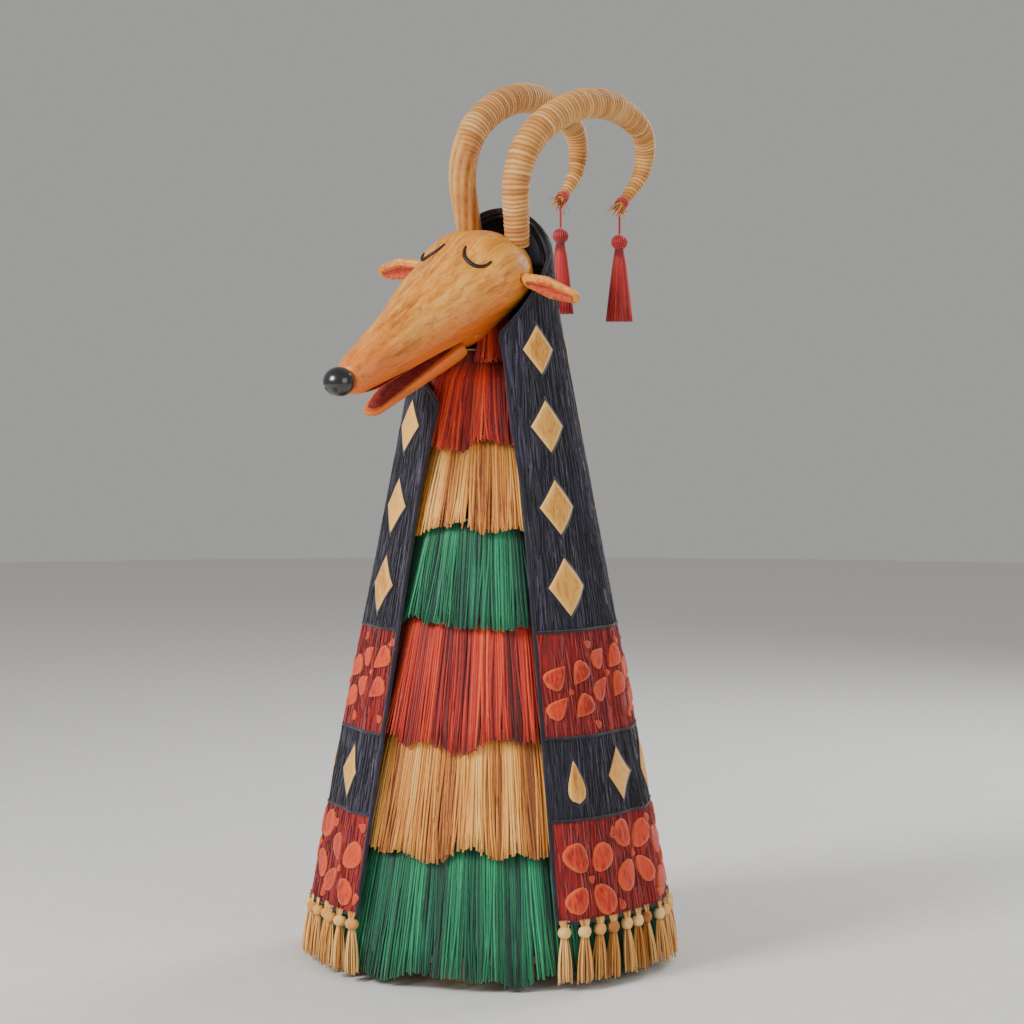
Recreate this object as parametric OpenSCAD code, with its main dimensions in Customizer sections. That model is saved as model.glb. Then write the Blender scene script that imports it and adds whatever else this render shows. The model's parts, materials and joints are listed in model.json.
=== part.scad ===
// Carolling goat on a post: a carved head that turns on a straw body dressed in fringe and a wool cloak.
// Millimetres. The origin is on the floor under the post, +Z is up and the body faces -Y.

/* [Post and foot] */
// Radius of the ash post
post_r = 20; // [18:1:24]
// Height of the shoulder that the head sits on
post_shoulder_z = 1000; // [990:1:1005]
// Radius of the turned spigot that the head swivels on
spigot_r = 14; // [12:1:15]
// Length of each foot beam
foot_length = 430; // [380:10:440]
// Width of each foot beam
foot_width = 50; // [44:1:60]
// Height of each foot beam
foot_height = 32; // [28:2:36]
// Radius of the round base board
board_r = 232; // [200:1:236]
// Thickness of the base board
board_t = 16; // [12:1:18]

/* [Cloak] */
// Radius that the cloak's cone would have on the floor
cloak_floor_r = 296; // [290:1:300]
// Loss of radius for each millimetre of height
cloak_taper = 0.185; // [0.18:0.001:0.19]
// Thickness of the wool cloth
cloth_t = 4; // [3:0.5:5]
// Height of the wool hem that the tassels hang from
hem_z = 100; // [90:1:110]
// Height where the lower red band meets the lower dark band
band_1_z = 250; // [245:1:255]
// Height where the lower dark band meets the upper red band
band_2_z = 372; // [368:1:376]
// Height where the upper red band meets the long dark panel
band_3_z = 531; // [527:1:535]
// Top of the part of the cloak that stays with the body
drape_top_z = 922; // [916:1:924]
// Thickness of the sewn-on patches
patch_t = 1.6; // [1:0.1:2]

/* [Head] */
// Angle that the head looks away from straight ahead
head_yaw = 24; // [15:1:30]
// Angle that the muzzle points down
head_pitch = 25; // [22:1:27]
// Angle that the head tips to its own left
head_roll = 7; // [0:1:8]
// Height of the middle of the skull
skull_z = 1075; // [1073:1:1077]
// Distance of the middle of the skull in front of the post
skull_x = 46; // [44:1:48]
// Level of the mouth under the middle of the skull
mouth_u = -58; // [-59:1:-57]
// Angle that the jaw hangs open
jaw_open = 8.5; // [7:0.5:9]
// Radius of the turned nose
nose_r = 23; // [21:1:24]

/* [Horns and tassels] */
// Distance of each horn from the middle of the head
horn_gap = 46; // [44:1:48]
// Radius of the bent rod in each horn
rod_r = 6; // [5:0.5:6]
// Angle that each horn spreads outwards as it goes back
horn_splay = 1.7; // [1:0.1:3]
// Angle that each horn leans outwards
horn_lean = 4.3; // [3:0.1:5]
// Length of the cord that each tassel hangs on
tassel_cord = 42; // [40:1:44]
// Radius of each tassel's knob
knob_r = 13; // [12:1:14]
// Length of each tassel's skirt
skirt_length = 112; // [100:1:116]
// Number of hem tassels round the cloak
hem_tassels = 35; // [30:1:36]

/* [Hidden] */
fine = 96;
round_fn = 32;
ear_fn = 22;
gap = 0.3;

// Tiers of the fringe: top and bottom height and the angle they cover, from the head down
tier_names = ["red_fringe_upper", "straw_fringe_upper", "green_fringe_upper",
              "red_fringe_lower", "straw_fringe_lower", "green_fringe_lower"];
tier_colours = ["firebrick", "goldenrod", "seagreen", "firebrick", "goldenrod", "seagreen"];
tier_top = [962, 830, 702, 560, 385, 222];
tier_bottom = [800, 672, 528, 350, 187, 22];
tier_arc = [150, 150, 150, 150, 150, 360];
tier_t = 8;
tier_inset = 4;
core_inset = 28;
neck_r = 60;
twine_r = 1.5;

// Angle that the hem tassels stand away from straight down
hem_flare = 17.5;

// Sheaves of the straw core
sheaf_cuts = [foot_height + board_t, 385, 702, 960];

// Front opening of the cloak: half widths and the heights they hold at
front_edge = [[165, 0], [82, 740], [49, drape_top_z]];

// Peg that stops the head 45 degrees either side of straight ahead, in a slot this wide
stop_r = 4;
stop_deep = 10.5;
stop_up = 55;
stop_slot = 2 * (45 + asin(stop_r / stop_deep) + 0.6);

// Spread of the diamonds and leaves
diamond_angles = [51, 115, 180, 245, 309];
diamond_rows = [[842, 74, 54], [718, 78, 58], [597, 82, 64]];
band_diamond_step = 24;
leaf_columns = 17;

// Skull, cheek and muzzle: middle and half sizes, forward, left and up from the middle of the skull
skull_e = [[0, 0, 0], [95, 95, 68]];
cheek_e = [[50, 0, -36], [62, 60, 58]];
muzzle_e = [[306, 0, -29], [34, 27, 28]];
jaw_back_e = [[104, 0, -68], [46, 48, 28]];
jaw_front_e = [[276, 0, -63], [26, 19, 13]];
nose_at = [344, 0, -22];
nose_seat = 17;
hinge_at = [75, 0, -62];
hinge_r = 4;
lug_half = 20;
boss_r = 22;
jaw_back_gap = 5.5;
ear_at = [-6, 85.5, 6];
ear_droop = 102;
ear_roll = 20;
eye_at = [30, 43, 53];
eye_r = 21;

// Horn path: a straight shaft that leans forward, then arcs of radius and turn, up, back, down and forward
horn_seat_z = 1130;
horn_socket = 20;
shaft_length = 80;
shaft_lean = 17;
horn_arcs = [[100, 69], [240, 66], [62, 100], [300, 10]];
rod_arcs = 2;
rod_room = 1;
arc_steps = [11, 9, 15, 5];
horn_sides = 20;

// Hood: rim line seen from the side, and the dome
dome_z = 1106;
dome_r = 98;
dome_h = 81;
hood_low_z = drape_top_z + 4;
rim = [[-28, dome_z], [82, 984]];
bow_r = 80;
bow_tube = 3.5;
bow_x = -33;
bow_z = 1093;

// ---- frames and helpers ----

function cloak_r(z) = cloak_floor_r - cloak_taper * z;
function core_r(z) = cloak_r(z) - cloth_t - core_inset;

// +X forward and +Y the goat's left, on the post's axis
module yaw_frame() rotate([0, 0, -90 - head_yaw]) children();

module tipped() translate([skull_x, 0, skull_z]) rotate([-head_roll, 0, 0]) children();

// +X along the muzzle, +Y the goat's left, +Z up through the skull
module head_frame() yaw_frame() tipped() rotate([0, head_pitch, 0]) children();

// +X forward and +Z up, with the origin where one horn's shaft meets the head
module horn_frame(side)
    yaw_frame() tipped() translate([-skull_x, side * horn_gap, horn_seat_z - skull_z])
        rotate([0, 0, -side * horn_splay]) rotate([-side * horn_lean, 0, 0]) children();

module along_shaft() rotate([0, shaft_lean, 0]) children();

module ellipsoid(e) translate(e[0]) scale(e[1]) sphere(r = 1, $fn = round_fn);

module across(r, half) rotate([90, 0, 0]) cylinder(r = r, h = 2 * half, center = true, $fn = fine);

// ---- foot, post and straw core ----

module foot_beam_lower() color("burlywood") difference() {
    translate([-foot_length / 2, -foot_width / 2, 0]) cube([foot_length, foot_width, foot_height]);
    translate([-foot_width / 2, -foot_width, foot_height / 2])
        cube([foot_width, 2 * foot_width, foot_height]);
    translate([0, 0, 6]) cylinder(r = spigot_r, h = foot_height, $fn = fine);
    screw_set();
}

module foot_beam_upper() color("burlywood") difference() {
    translate([-foot_width / 2, -foot_length / 2, 0]) cube([foot_width, foot_length, foot_height]);
    translate([-foot_width, -foot_width / 2, -foot_height / 2])
        cube([2 * foot_width, foot_width, foot_height]);
    translate([0, 0, 6]) cylinder(r = spigot_r, h = foot_height, $fn = fine);
    screw_set();
}

module base_board() color("tan") difference() {
    translate([0, 0, foot_height]) cylinder(r = board_r, h = board_t, $fn = fine);
    cylinder(r = post_r, h = 2 * foot_height, $fn = fine);
    screw_set();
}

// Countersunk screws down through the board into the beams
module screw_set() {
    top = foot_height + board_t;
    for (turn = [0:90:270], reach = [90, 180]) rotate([0, 0, turn]) translate([reach, 0, 0]) {
        translate([0, 0, 12]) cylinder(r = 2, h = top - 12, $fn = fine);
        translate([0, 0, top - 3]) cylinder(r1 = 2, r2 = 5, h = 3, $fn = fine);
    }
}

module board_screws() color("silver") screw_set();

// The turning head is stopped by a peg in the slot that is cut part of the way round the spigot
module post() color("wheat") difference() {
    union() {
        translate([0, 0, 6]) cylinder(r = spigot_r, h = foot_height, $fn = fine);
        translate([0, 0, foot_height]) cylinder(r = post_r, h = post_shoulder_z - foot_height, $fn = fine);
        translate([0, 0, post_shoulder_z]) cylinder(r = spigot_r, h = 92, $fn = fine);
    }
    rotate([0, 0, 90 - stop_slot / 2]) rotate_extrude(angle = stop_slot, $fn = fine)
        translate([stop_deep - 1, post_shoulder_z + stop_up - stop_r - 0.5]) square([10, 2 * stop_r + 1]);
}

module neck_washer() color("saddlebrown") difference() {
    translate([0, 0, post_shoulder_z]) cylinder(r = post_r + 4, h = 4, $fn = fine);
    cylinder(r = spigot_r, h = 2 * post_shoulder_z, $fn = fine);
}

module sheaf(low, high) color("khaki") difference() {
    rotate_extrude($fn = fine) polygon([[0, low], [core_r(low), low],
        [high > 900 ? neck_r : core_r(high), high], [0, high]]);
    cylinder(r = post_r, h = 2 * post_shoulder_z, $fn = fine);
}

// ---- fringe ----

// The line from a tier's tied top, close to the core, out to its free hem under the cloak
function tier_head_r(i) = i == 0 ? neck_r : core_r(tier_top[i]);
function tier_hem_r(i) = cloak_r(tier_bottom[i]) - cloth_t - tier_inset - (i == 0 ? 2 : 0);
function tier_knee(i) = i == 0 ? [98, 915] : [tier_head_r(i) + 7, tier_top[i] - 14];

function tier_outline(i) = let (
    head = [tier_head_r(i), tier_top[i]],
    hem = [tier_hem_r(i), tier_bottom[i]],
    knee = tier_knee(i))
    [head + [gap, 0], head + [4, 0], knee + [5, 0], hem, hem - [tier_t, 0], knee - [3, 6]];

// Middle of the tying twine, which lies on the slope just outside the tied top
function tier_cord_at(i) = let (
    start = [tier_head_r(i) + 4, tier_top[i]],
    slope = (tier_knee(i) + [5, 0] - start) / norm(tier_knee(i) + [5, 0] - start))
    start + 3 * slope + (twine_r + gap) * [-slope[1], slope[0]];

module fringe(i) color(tier_colours[i]) rotate([0, 0, -90 - tier_arc[i] / 2])
    rotate_extrude(angle = tier_arc[i], $fn = fine) polygon(tier_outline(i));

// Twine that ties the heads of the strands to the core
module fringe_cord(i) color("peru") rotate_extrude($fn = fine)
    translate(tier_cord_at(i)) circle(r = twine_r, $fn = round_fn);

// ---- cloak ----

module front_cut() rotate([90, 0, 0]) linear_extrude(height = 2 * cloak_floor_r) polygon(concat(
    [for (p = front_edge) [p[0], p[1]]],
    [for (k = [len(front_edge) - 1:-1:0]) [-front_edge[k][0], front_edge[k][1]]]));

module cone_layer(low, high, inner, thick) rotate_extrude($fn = fine) polygon([
    [cloak_r(low) + inner, low], [cloak_r(low) + inner + thick, low],
    [cloak_r(high) + inner + thick, high], [cloak_r(high) + inner, high]]);

module cloak_band(low, high, shade) color(shade) difference() {
    cone_layer(low, high, -cloth_t, cloth_t);
    front_cut();
}

// A flat outline pushed outwards from inside the cloak, to be cut to the cloak's surface
module radial_prism(angle, z) rotate([0, 0, angle - 90]) translate([cloak_r(z) - 28, 0, z])
    rotate([90, 0, 90]) linear_extrude(height = 56) children();

module diamond(w, h) polygon([[0, -h / 2], [w / 2, 0], [0, h / 2], [-w / 2, 0]]);

module diamond_patches() color("moccasin") intersection() {
    cone_layer(band_3_z, drape_top_z, 0, patch_t);
    union() for (a = diamond_angles, row = diamond_rows) radial_prism(a, row[0]) diamond(row[2], row[1]);
}

module band_diamond_patches() color("moccasin") intersection() {
    cone_layer(band_1_z, band_2_z, 0, patch_t);
    union() {
        for (k = [0:10]) radial_prism(68 + band_diamond_step * k, 309) diamond(48, 76);
        radial_prism(44, 309) polygon([[4, 36], [14, -18], [8, -30], [-6, -30], [-14, -20]]);
    }
}

module leaf(w, h) polygon([[0, -h / 2], [w * 0.4, -h / 5], [w / 2, h / 12], [0, h / 2],
    [-w / 2, h / 12], [-w * 0.4, -h / 5]]);

// Two staggered rows of leaves that lean one way and then the other
module leaf_patches(low, high, w, h) color("orangered") intersection() {
    cone_layer(low, high, 0, patch_t);
    union() for (k = [0:leaf_columns - 1], row = [0, 1]) {
        angle = 46 + (k + row * 0.5) * 262 / (leaf_columns - 0.5);
        radial_prism(angle, low + (high - low) * (0.27 + 0.46 * row))
            rotate([0, 0, k % 2 == row ? 28 : -34]) leaf(w, h);
    }
}

module hem_tassel() rotate_extrude($fn = round_fn) polygon([[0, 0], [6, -1], [9, -8], [6, -16],
    [5, -20], [13, -78], [12, -81], [0, -81]]);

module hem_tassels() color("moccasin") for (k = [0:hem_tassels - 1])
    rotate([0, 0, -52 + k * 284 / (hem_tassels - 1)])
        translate([cloak_r(hem_z) - cloth_t / 2, 0, hem_z - gap])
            rotate([0, -hem_flare, 0]) hem_tassel();

// ---- head ----

module head_mass() hull() {
    ellipsoid(skull_e);
    ellipsoid(cheek_e);
    ellipsoid(muzzle_e);
}

module nose_peg() translate(nose_at) rotate([0, -90, 0]) cylinder(r = 5, h = 46, $fn = fine);

module beyond_nose_seat() translate([nose_at[0] - nose_seat, -60, nose_at[2] - 60]) cube([100, 120, 120]);

// Everything under the mouth line in front of the hinge, but for the round cheek bosses
module mouth_space() difference() {
    translate([hinge_at[0], -150, -250]) cube([400, 300, 250 + mouth_u]);
    translate(hinge_at) across(boss_r + 5, 160);
}

module lug_slot() {
    translate(hinge_at) across(boss_r + 2.5, lug_half + 0.5);
    translate([hinge_at[0], -lug_half - 0.5, -110]) cube([45, 2 * lug_half + 1, 72]);
}

module lining_plate(back, front, half_back, half_front, top) translate([0, 0, top - 2])
    linear_extrude(height = 2) polygon([[back, -half_back], [front - 8, -half_front], [front, 0],
        [front - 8, half_front], [back, half_back]]);

module palate_plate() lining_plate(122, 306, 34, 19, mouth_u + 2);

module turn_peg() yaw_frame() translate([-stop_deep, 0, post_shoulder_z + stop_up]) rotate([0, -90, 0])
    cylinder(r = stop_r, h = 26, $fn = fine);

module horn_holes() for (side = [-1, 1]) horn_frame(side) along_shaft() {
    translate([0, 0, -horn_socket]) cylinder(r = rod_r, h = 60, $fn = fine);
    cylinder(r = straw_r(0) + 1.5, h = 60, $fn = fine);
}

// Keeps the throat clear of the post and its washer as the head turns
module swivel_room() translate([0, 0, post_shoulder_z - 60]) cylinder(r = 27, h = 64.4, $fn = fine);

module head() color("sandybrown") difference() {
    union() {
        head_frame() head_mass();
        translate([0, 0, post_shoulder_z + 4.4]) cylinder(r = 30, h = 40, $fn = fine);
    }
    translate([0, 0, post_shoulder_z]) cylinder(r = spigot_r + 0.1, h = 95, $fn = fine);
    swivel_room();
    turn_peg();
    horn_holes();
    bow_legs();
    head_frame() {
        mouth_space();
        lug_slot();
        translate(hinge_at) across(hinge_r, 160);
        palate_plate();
        beyond_nose_seat();
        nose_peg();
        eyelid_pair();
        for (side = [-1, 1]) ear_place(side) ear_peg();
    }
}

module palate_lining() color("maroon") head_frame() palate_plate();

module nose() color("black") head_frame() {
    intersection() {
        translate(nose_at) sphere(r = nose_r, $fn = fine);
        beyond_nose_seat();
    }
    nose_peg();
}

module jaw_pin() color("silver") head_frame() translate(hinge_at) across(hinge_r, 34);

module turn_stop_peg() color("silver") turn_peg();

// One closed eyelid is a strip bent to a half circle that hangs down the face
module eyelid_pair() for (side = [-1, 1])
    translate([eye_at[0], side * eye_at[1], eye_at[2]]) rotate([-side * 24, 16, 0])
        rotate([0, 0, -66]) rotate_extrude(angle = 132, $fn = fine)
            translate([eye_r - 2, -9]) square([4, 12]);

module eyelids() color("black") head_frame() eyelid_pair();

// ---- ears ----

// +Z outwards along the ear, +X towards the open side
module ear_place(side) translate([ear_at[0], side * ear_at[1], ear_at[2]])
    rotate([-side * ear_droop, 0, 0]) rotate([0, 0, ear_roll * side]) children();

module ear_peg() translate([0, 0, -22]) cylinder(r = 5, h = 40, $fn = fine);

module ear_mass() hull() {
    translate([0, 0, 17]) scale([9, 13, 8]) sphere(r = 1, $fn = ear_fn);
    translate([0, 0, 58]) scale([9, 24, 24]) sphere(r = 1, $fn = ear_fn);
    translate([0, 0, 100]) scale([7, 15, 14]) sphere(r = 1, $fn = ear_fn);
}

module ear_scoop() hull() {
    translate([11, 0, 26]) scale([10, 7, 6]) sphere(r = 1, $fn = ear_fn);
    translate([11, 0, 62]) scale([10, 16, 20]) sphere(r = 1, $fn = ear_fn);
    translate([10, 0, 98]) scale([9, 8, 8]) sphere(r = 1, $fn = ear_fn);
}

module ear(side) color("sandybrown") head_frame() ear_place(side) {
    difference() {
        ear_mass();
        ear_scoop();
    }
    ear_peg();
}

module ear_lining(side) color("indianred") head_frame() ear_place(side) difference() {
    intersection() {
        ear_mass();
        ear_scoop();
    }
    translate([3.4, 0, 0]) ear_scoop();
}

// ---- horns ----

// The path is in its own plane, [back, up]; a heading of 0 is up and 90 is back
function along(h, d) = d * [sin(h), cos(h)];
function arc_end(p, h, r, a) = p + r * [cos(h) - cos(h + a), sin(h + a) - sin(h)];
function heading_at(k) = k == 0 ? -shaft_lean : heading_at(k - 1) + horn_arcs[k - 1][1];
function point_at(k) = k == 0 ? along(-shaft_lean, shaft_length)
    : arc_end(point_at(k - 1), heading_at(k - 1), horn_arcs[k - 1][0], horn_arcs[k - 1][1]);
function length_at(k) = k == 0 ? shaft_length
    : length_at(k - 1) + horn_arcs[k - 1][0] * horn_arcs[k - 1][1] * PI / 180;
tip_k = len(horn_arcs);
horn_length = length_at(tip_k);

// Stations of [point, heading, length along the horn]
horn_stations = concat(
    [for (d = [gap, shaft_length / 3, shaft_length * 2 / 3]) [along(-shaft_lean, d), -shaft_lean, d]],
    [for (k = [0:tip_k - 1], j = [0:arc_steps[k] - 1])
        let (a = horn_arcs[k][1] * j / arc_steps[k])
        [arc_end(point_at(k), heading_at(k), horn_arcs[k][0], a), heading_at(k) + a,
         length_at(k) + horn_arcs[k][0] * a * PI / 180]],
    [[point_at(tip_k), heading_at(tip_k), horn_length]]);
rod_stations = 3 + arc_steps[0] + arc_steps[1] + 2;

// Straw is thickest over the first bend and thins to the tied tip
function straw_r(s) = let (t = s / horn_length)
    t < 0.45 ? 20 + 5 * sin(t / 0.45 * 90) : 25 - 17.5 * pow((t - 0.45) / 0.55, 2.2);

function ring(st, r) = [for (j = [0:horn_sides - 1]) let (a = 360 * j / horn_sides)
    [-(st[0][0] + r * cos(a) * cos(st[1])), r * sin(a), st[0][1] - r * cos(a) * sin(st[1])]];

function side_faces(n, first, flip) = [for (i = [0:n - 2], j = [0:horn_sides - 1])
    let (a = first + i * horn_sides + j, b = first + i * horn_sides + (j + 1) % horn_sides)
    flip ? [a, b, b + horn_sides, a + horn_sides] : [a, a + horn_sides, b + horn_sides, b]];

module horn_straw(side) {
    n = len(horn_stations);
    m = rod_stations;
    hollow = n * horn_sides;
    last = hollow - horn_sides;
    deep = hollow + (m - 1) * horn_sides;
    points = concat(
        [for (st = horn_stations) each ring(st, straw_r(st[2]))],
        [for (i = [0:m - 1]) each ring(horn_stations[i], rod_r + rod_room)]);
    color("burlywood") horn_frame(side) polyhedron(points = points, faces = concat(
        side_faces(n, 0, false), side_faces(m, hollow, true),
        [[for (j = [horn_sides - 1:-1:0]) last + j]],
        [[for (j = [0:horn_sides - 1]) deep + j]],
        [for (j = [0:horn_sides - 1]) let (b = (j + 1) % horn_sides) [j, b, hollow + b, hollow + j]]));
}

module horn_rod(side) color("saddlebrown") horn_frame(side) {
    along_shaft() translate([0, 0, -horn_socket])
        cylinder(r = rod_r, h = horn_socket + shaft_length, $fn = fine);
    for (k = [0:rod_arcs - 1]) {
        p = point_at(k);
        h = heading_at(k);
        r = horn_arcs[k][0];
        translate([-p[0], 0, p[1]]) sphere(r = rod_r + 0.1, $fn = fine);
        translate([-p[0] - r * cos(h), 0, p[1] - r * sin(h)]) rotate([90, 0, 0]) rotate([0, 0, h])
            rotate_extrude(angle = horn_arcs[k][1], $fn = fine) translate([r, 0])
                circle(r = rod_r, $fn = fine);
    }
}

// Place of one horn's tip
function turn_z(p, a) = [p[0] * cos(a) - p[1] * sin(a), p[0] * sin(a) + p[1] * cos(a), p[2]];
function turn_x(p, a) = [p[0], p[1] * cos(a) - p[2] * sin(a), p[1] * sin(a) + p[2] * cos(a)];
function tip(side) = let (
    plane = point_at(tip_k),
    leant = turn_x([-plane[0], 0, plane[1]], -side * horn_lean),
    horn = turn_z(leant, -side * horn_splay) + [-skull_x, side * horn_gap, horn_seat_z - skull_z])
    turn_z(turn_x(horn, -head_roll) + [skull_x, 0, skull_z], -90 - head_yaw);

// Red thread wound round the tip, which the tassel's cord is knotted to
module horn_tie(side) color("firebrick") {
    t = point_at(tip_k);
    horn_frame(side) translate([-t[0], 0, t[1]]) rotate([0, 180 - heading_at(tip_k), 0])
        translate([0, 0, 3]) difference() {
            cylinder(r = 9.8, h = 5, $fn = fine);
            translate([0, 0, -1]) cylinder(r = 8.8, h = 7, $fn = fine);
        }
}

// ---- hood ----

module hood_profile(inner) polygon(concat(
    [[0, hood_low_z], [cloak_r(hood_low_z) - inner, hood_low_z], [109.5 - inner, 1009]],
    [for (a = [0:6:90]) [(dome_r - inner) * cos(a), dome_z + (dome_h - inner) * sin(a)]]));

module hood() color("darkslateblue") difference() {
    rotate_extrude($fn = fine) difference() {
        hood_profile(0);
        hood_profile(cloth_t);
        translate([-1, hood_low_z - 1]) square([cloak_r(hood_low_z) - cloth_t + 1, 2]);
    }
    yaw_frame() rotate([90, 0, 0]) translate([0, 0, -200]) linear_extrude(height = 400)
        polygon([[rim[0][0], 1300], rim[0], rim[1], [rim[1][0], 900], [300, 900], [300, 1300]]);
}

// Bent rod that holds the hood's rim clear of the skull
module bow_legs() yaw_frame() for (side = [-1, 1])
    translate([bow_x, side * (bow_r + bow_tube), bow_z]) rotate([side * 90, 0, 0])
        cylinder(r = bow_tube, h = 52, $fn = fine);

module hood_bow() color("saddlebrown") {
    yaw_frame() translate([bow_x, 0, bow_z]) rotate([90, 0, 90]) rotate_extrude(angle = 180, $fn = fine)
        translate([bow_r, 0]) circle(r = bow_tube, $fn = fine);
    bow_legs();
}

// ---- jaw ----

module jaw_turned() translate(hinge_at) rotate([0, jaw_open, 0]) translate(-hinge_at) children();

module jaw_plate() lining_plate(124, 290, 31, 13, mouth_u - 2);

module jaw() color("sandybrown") head_frame() jaw_turned() difference() {
    union() {
        difference() {
            hull() {
                ellipsoid(jaw_back_e);
                ellipsoid(jaw_front_e);
            }
            translate([0, -100, mouth_u - 2]) cube([400, 200, 100]);
            translate([hinge_at[0] - 100, -100, -200]) cube([100 + jaw_back_gap, 200, 200]);
            translate(hinge_at) across(boss_r + 6, 100);
        }
        translate(hinge_at) across(boss_r, lug_half);
        translate([hinge_at[0], -lug_half, -82]) cube([38, 2 * lug_half, 20]);
    }
    translate(hinge_at) across(hinge_r + 0.1, 100);
    jaw_plate();
}

module jaw_lining() color("maroon") head_frame() jaw_turned() jaw_plate();

// ---- tassels ----

cord_r = 1.75;
tip_drop = 3.5;
knob_gap = 0.6;

module tassel_at(side) translate(tip(side) - [0, 0, tip_drop]) children();

module tassel_cord(side) color("firebrick") tassel_at(side)
    translate([0, 0, -tassel_cord]) cylinder(r = cord_r, h = tassel_cord, $fn = fine);

module tassel_knob(side) color("crimson") tassel_at(side)
    translate([0, 0, -tassel_cord - knob_r - knob_gap]) sphere(r = knob_r, $fn = fine);

knob_low = tassel_cord + knob_gap + 2 * knob_r - 2;

module tassel_neck(side) color("darkred") tassel_at(side) difference() {
    translate([0, 0, -knob_low - 7]) cylinder(r = 7.5, h = 8, $fn = fine);
    translate([0, 0, -tassel_cord - knob_r - knob_gap]) sphere(r = knob_r, $fn = fine);
}

module tassel_skirt(side) color("crimson") tassel_at(side) translate([0, 0, -knob_low - 7 - skirt_length])
    cylinder(r1 = 23, r2 = 7.5, h = skirt_length, $fn = fine);

// ---- nodes ----

foot_beam_lower();
foot_beam_upper();
base_board();
board_screws();
post();
neck_washer();
sheaf(sheaf_cuts[0], sheaf_cuts[1]);  // straw_sheaf_lower
sheaf(sheaf_cuts[1], sheaf_cuts[2]);  // straw_sheaf_middle
sheaf(sheaf_cuts[2], sheaf_cuts[3]);  // straw_sheaf_upper
for (i = [0:len(tier_names) - 1]) {
    fringe(i);
    fringe_cord(i);
}
cloak_band(band_3_z, drape_top_z, "darkslateblue");  // cloak_dark_panel
cloak_band(band_2_z, band_3_z, "firebrick");  // cloak_red_band_upper
cloak_band(band_1_z, band_2_z, "darkslateblue");  // cloak_dark_band
cloak_band(hem_z, band_1_z, "firebrick");  // cloak_red_band_lower
diamond_patches();
band_diamond_patches();
leaf_patches(band_2_z, band_3_z, 26, 46);  // leaf_patches_upper
leaf_patches(hem_z, band_1_z, 34, 52);  // leaf_patches_lower
hem_tassels();
head();
palate_lining();
nose();
eyelids();
hood();
hood_bow();
jaw_pin();
turn_stop_peg();
jaw();
jaw_lining();
for (side = [1, -1]) {
    end = side > 0 ? "_left" : "_right";
    ear(side);
    ear_lining(side);
    horn_rod(side);
    horn_straw(side);
    horn_tie(side);
    tassel_cord(side);
    tassel_knob(side);
    tassel_neck(side);
    tassel_skirt(side);
}
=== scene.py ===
"""Carolling goat: carved head, wound straw horns, tiers of straw fringe and a patched wool cloak."""
import json
import math

import bmesh
import bpy
import numpy as np
from mathutils import Matrix, Vector, noise
from mathutils.bvhtree import BVHTree


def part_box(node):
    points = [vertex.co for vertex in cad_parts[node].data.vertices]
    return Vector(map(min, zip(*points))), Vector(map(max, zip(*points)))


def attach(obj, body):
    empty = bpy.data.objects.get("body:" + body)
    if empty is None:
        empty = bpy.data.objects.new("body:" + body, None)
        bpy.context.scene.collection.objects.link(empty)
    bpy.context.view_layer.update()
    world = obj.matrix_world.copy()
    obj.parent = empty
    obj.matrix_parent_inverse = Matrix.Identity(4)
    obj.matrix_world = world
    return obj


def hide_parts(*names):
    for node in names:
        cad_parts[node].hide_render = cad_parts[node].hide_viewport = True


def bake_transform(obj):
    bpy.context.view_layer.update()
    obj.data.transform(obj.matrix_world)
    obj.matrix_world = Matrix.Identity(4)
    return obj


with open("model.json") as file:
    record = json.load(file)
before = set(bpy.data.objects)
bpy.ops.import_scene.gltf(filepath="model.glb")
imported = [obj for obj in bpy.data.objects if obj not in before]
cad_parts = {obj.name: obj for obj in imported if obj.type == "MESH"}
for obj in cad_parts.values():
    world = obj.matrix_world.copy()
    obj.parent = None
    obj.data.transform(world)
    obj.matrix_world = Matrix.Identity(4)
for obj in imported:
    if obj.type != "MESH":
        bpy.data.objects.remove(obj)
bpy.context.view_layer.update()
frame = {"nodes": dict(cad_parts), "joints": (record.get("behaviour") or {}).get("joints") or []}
nodes = frame["nodes"]
draw = np.random.default_rng(24)

# ---- driving sizes, in metres and degrees, as the frame has them ----

HEAD_YAW, HEAD_PITCH, HEAD_ROLL = 24, 25, 7
SKULL_FORWARD, SKULL_UP = 0.046, 1.075
MOUTH_UP = -0.058
HORN_GAP, HORN_SEAT = 0.046, 1.130
HORN_SPLAY, HORN_LEAN, SHAFT_LEAN, SHAFT_LENGTH = 1.7, 4.3, 17, 0.080
HORN_ARCS = ((0.100, 69), (0.240, 66), (0.062, 100), (0.300, 10))
WINDING_PITCH = 0.0068

CLOAK_FLOOR_R, CLOAK_TAPER, CLOTH_T = 0.296, 0.185, 0.004
CONE_TOP, DOME_BASE, DOME_R, DOME_H = 1.009, 1.106, 0.098, 0.081
HEM_UP, BAND_1_UP, BAND_2_UP, BAND_3_UP = 0.100, 0.250, 0.372, 0.531
FRONT_EDGE = ((0, 0.165), (0.740, 0.082), (0.955, 0.043))
RIM_LOW, RIM_LOW_X, RIM_X = 0.984, 0.082, -0.028

TIERS = ("red_fringe_upper", "straw_fringe_upper", "green_fringe_upper",
         "red_fringe_lower", "straw_fringe_lower", "green_fringe_lower")
CORE_INSET, TIER_INSET, NECK_R = 0.028, 0.004, 0.060
LOCK_ARC = 0.0125
PATCH_RISE, BACKING_RISE = 0.0046, 0.0030
NOSE_FORWARD, NOSE_UP, NOSE_R = 0.344, -0.022, 0.0232
MOUTH_BACK, JAW_TRAVEL = 0.108, 8.5
SEAM_R, BINDING_R, TIE_R = 0.0022, 0.0034, 0.0013
HEM_TASSELS = 48


def turn(degrees, axis):
    return Matrix.Rotation(math.radians(degrees), 4, axis)


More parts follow.
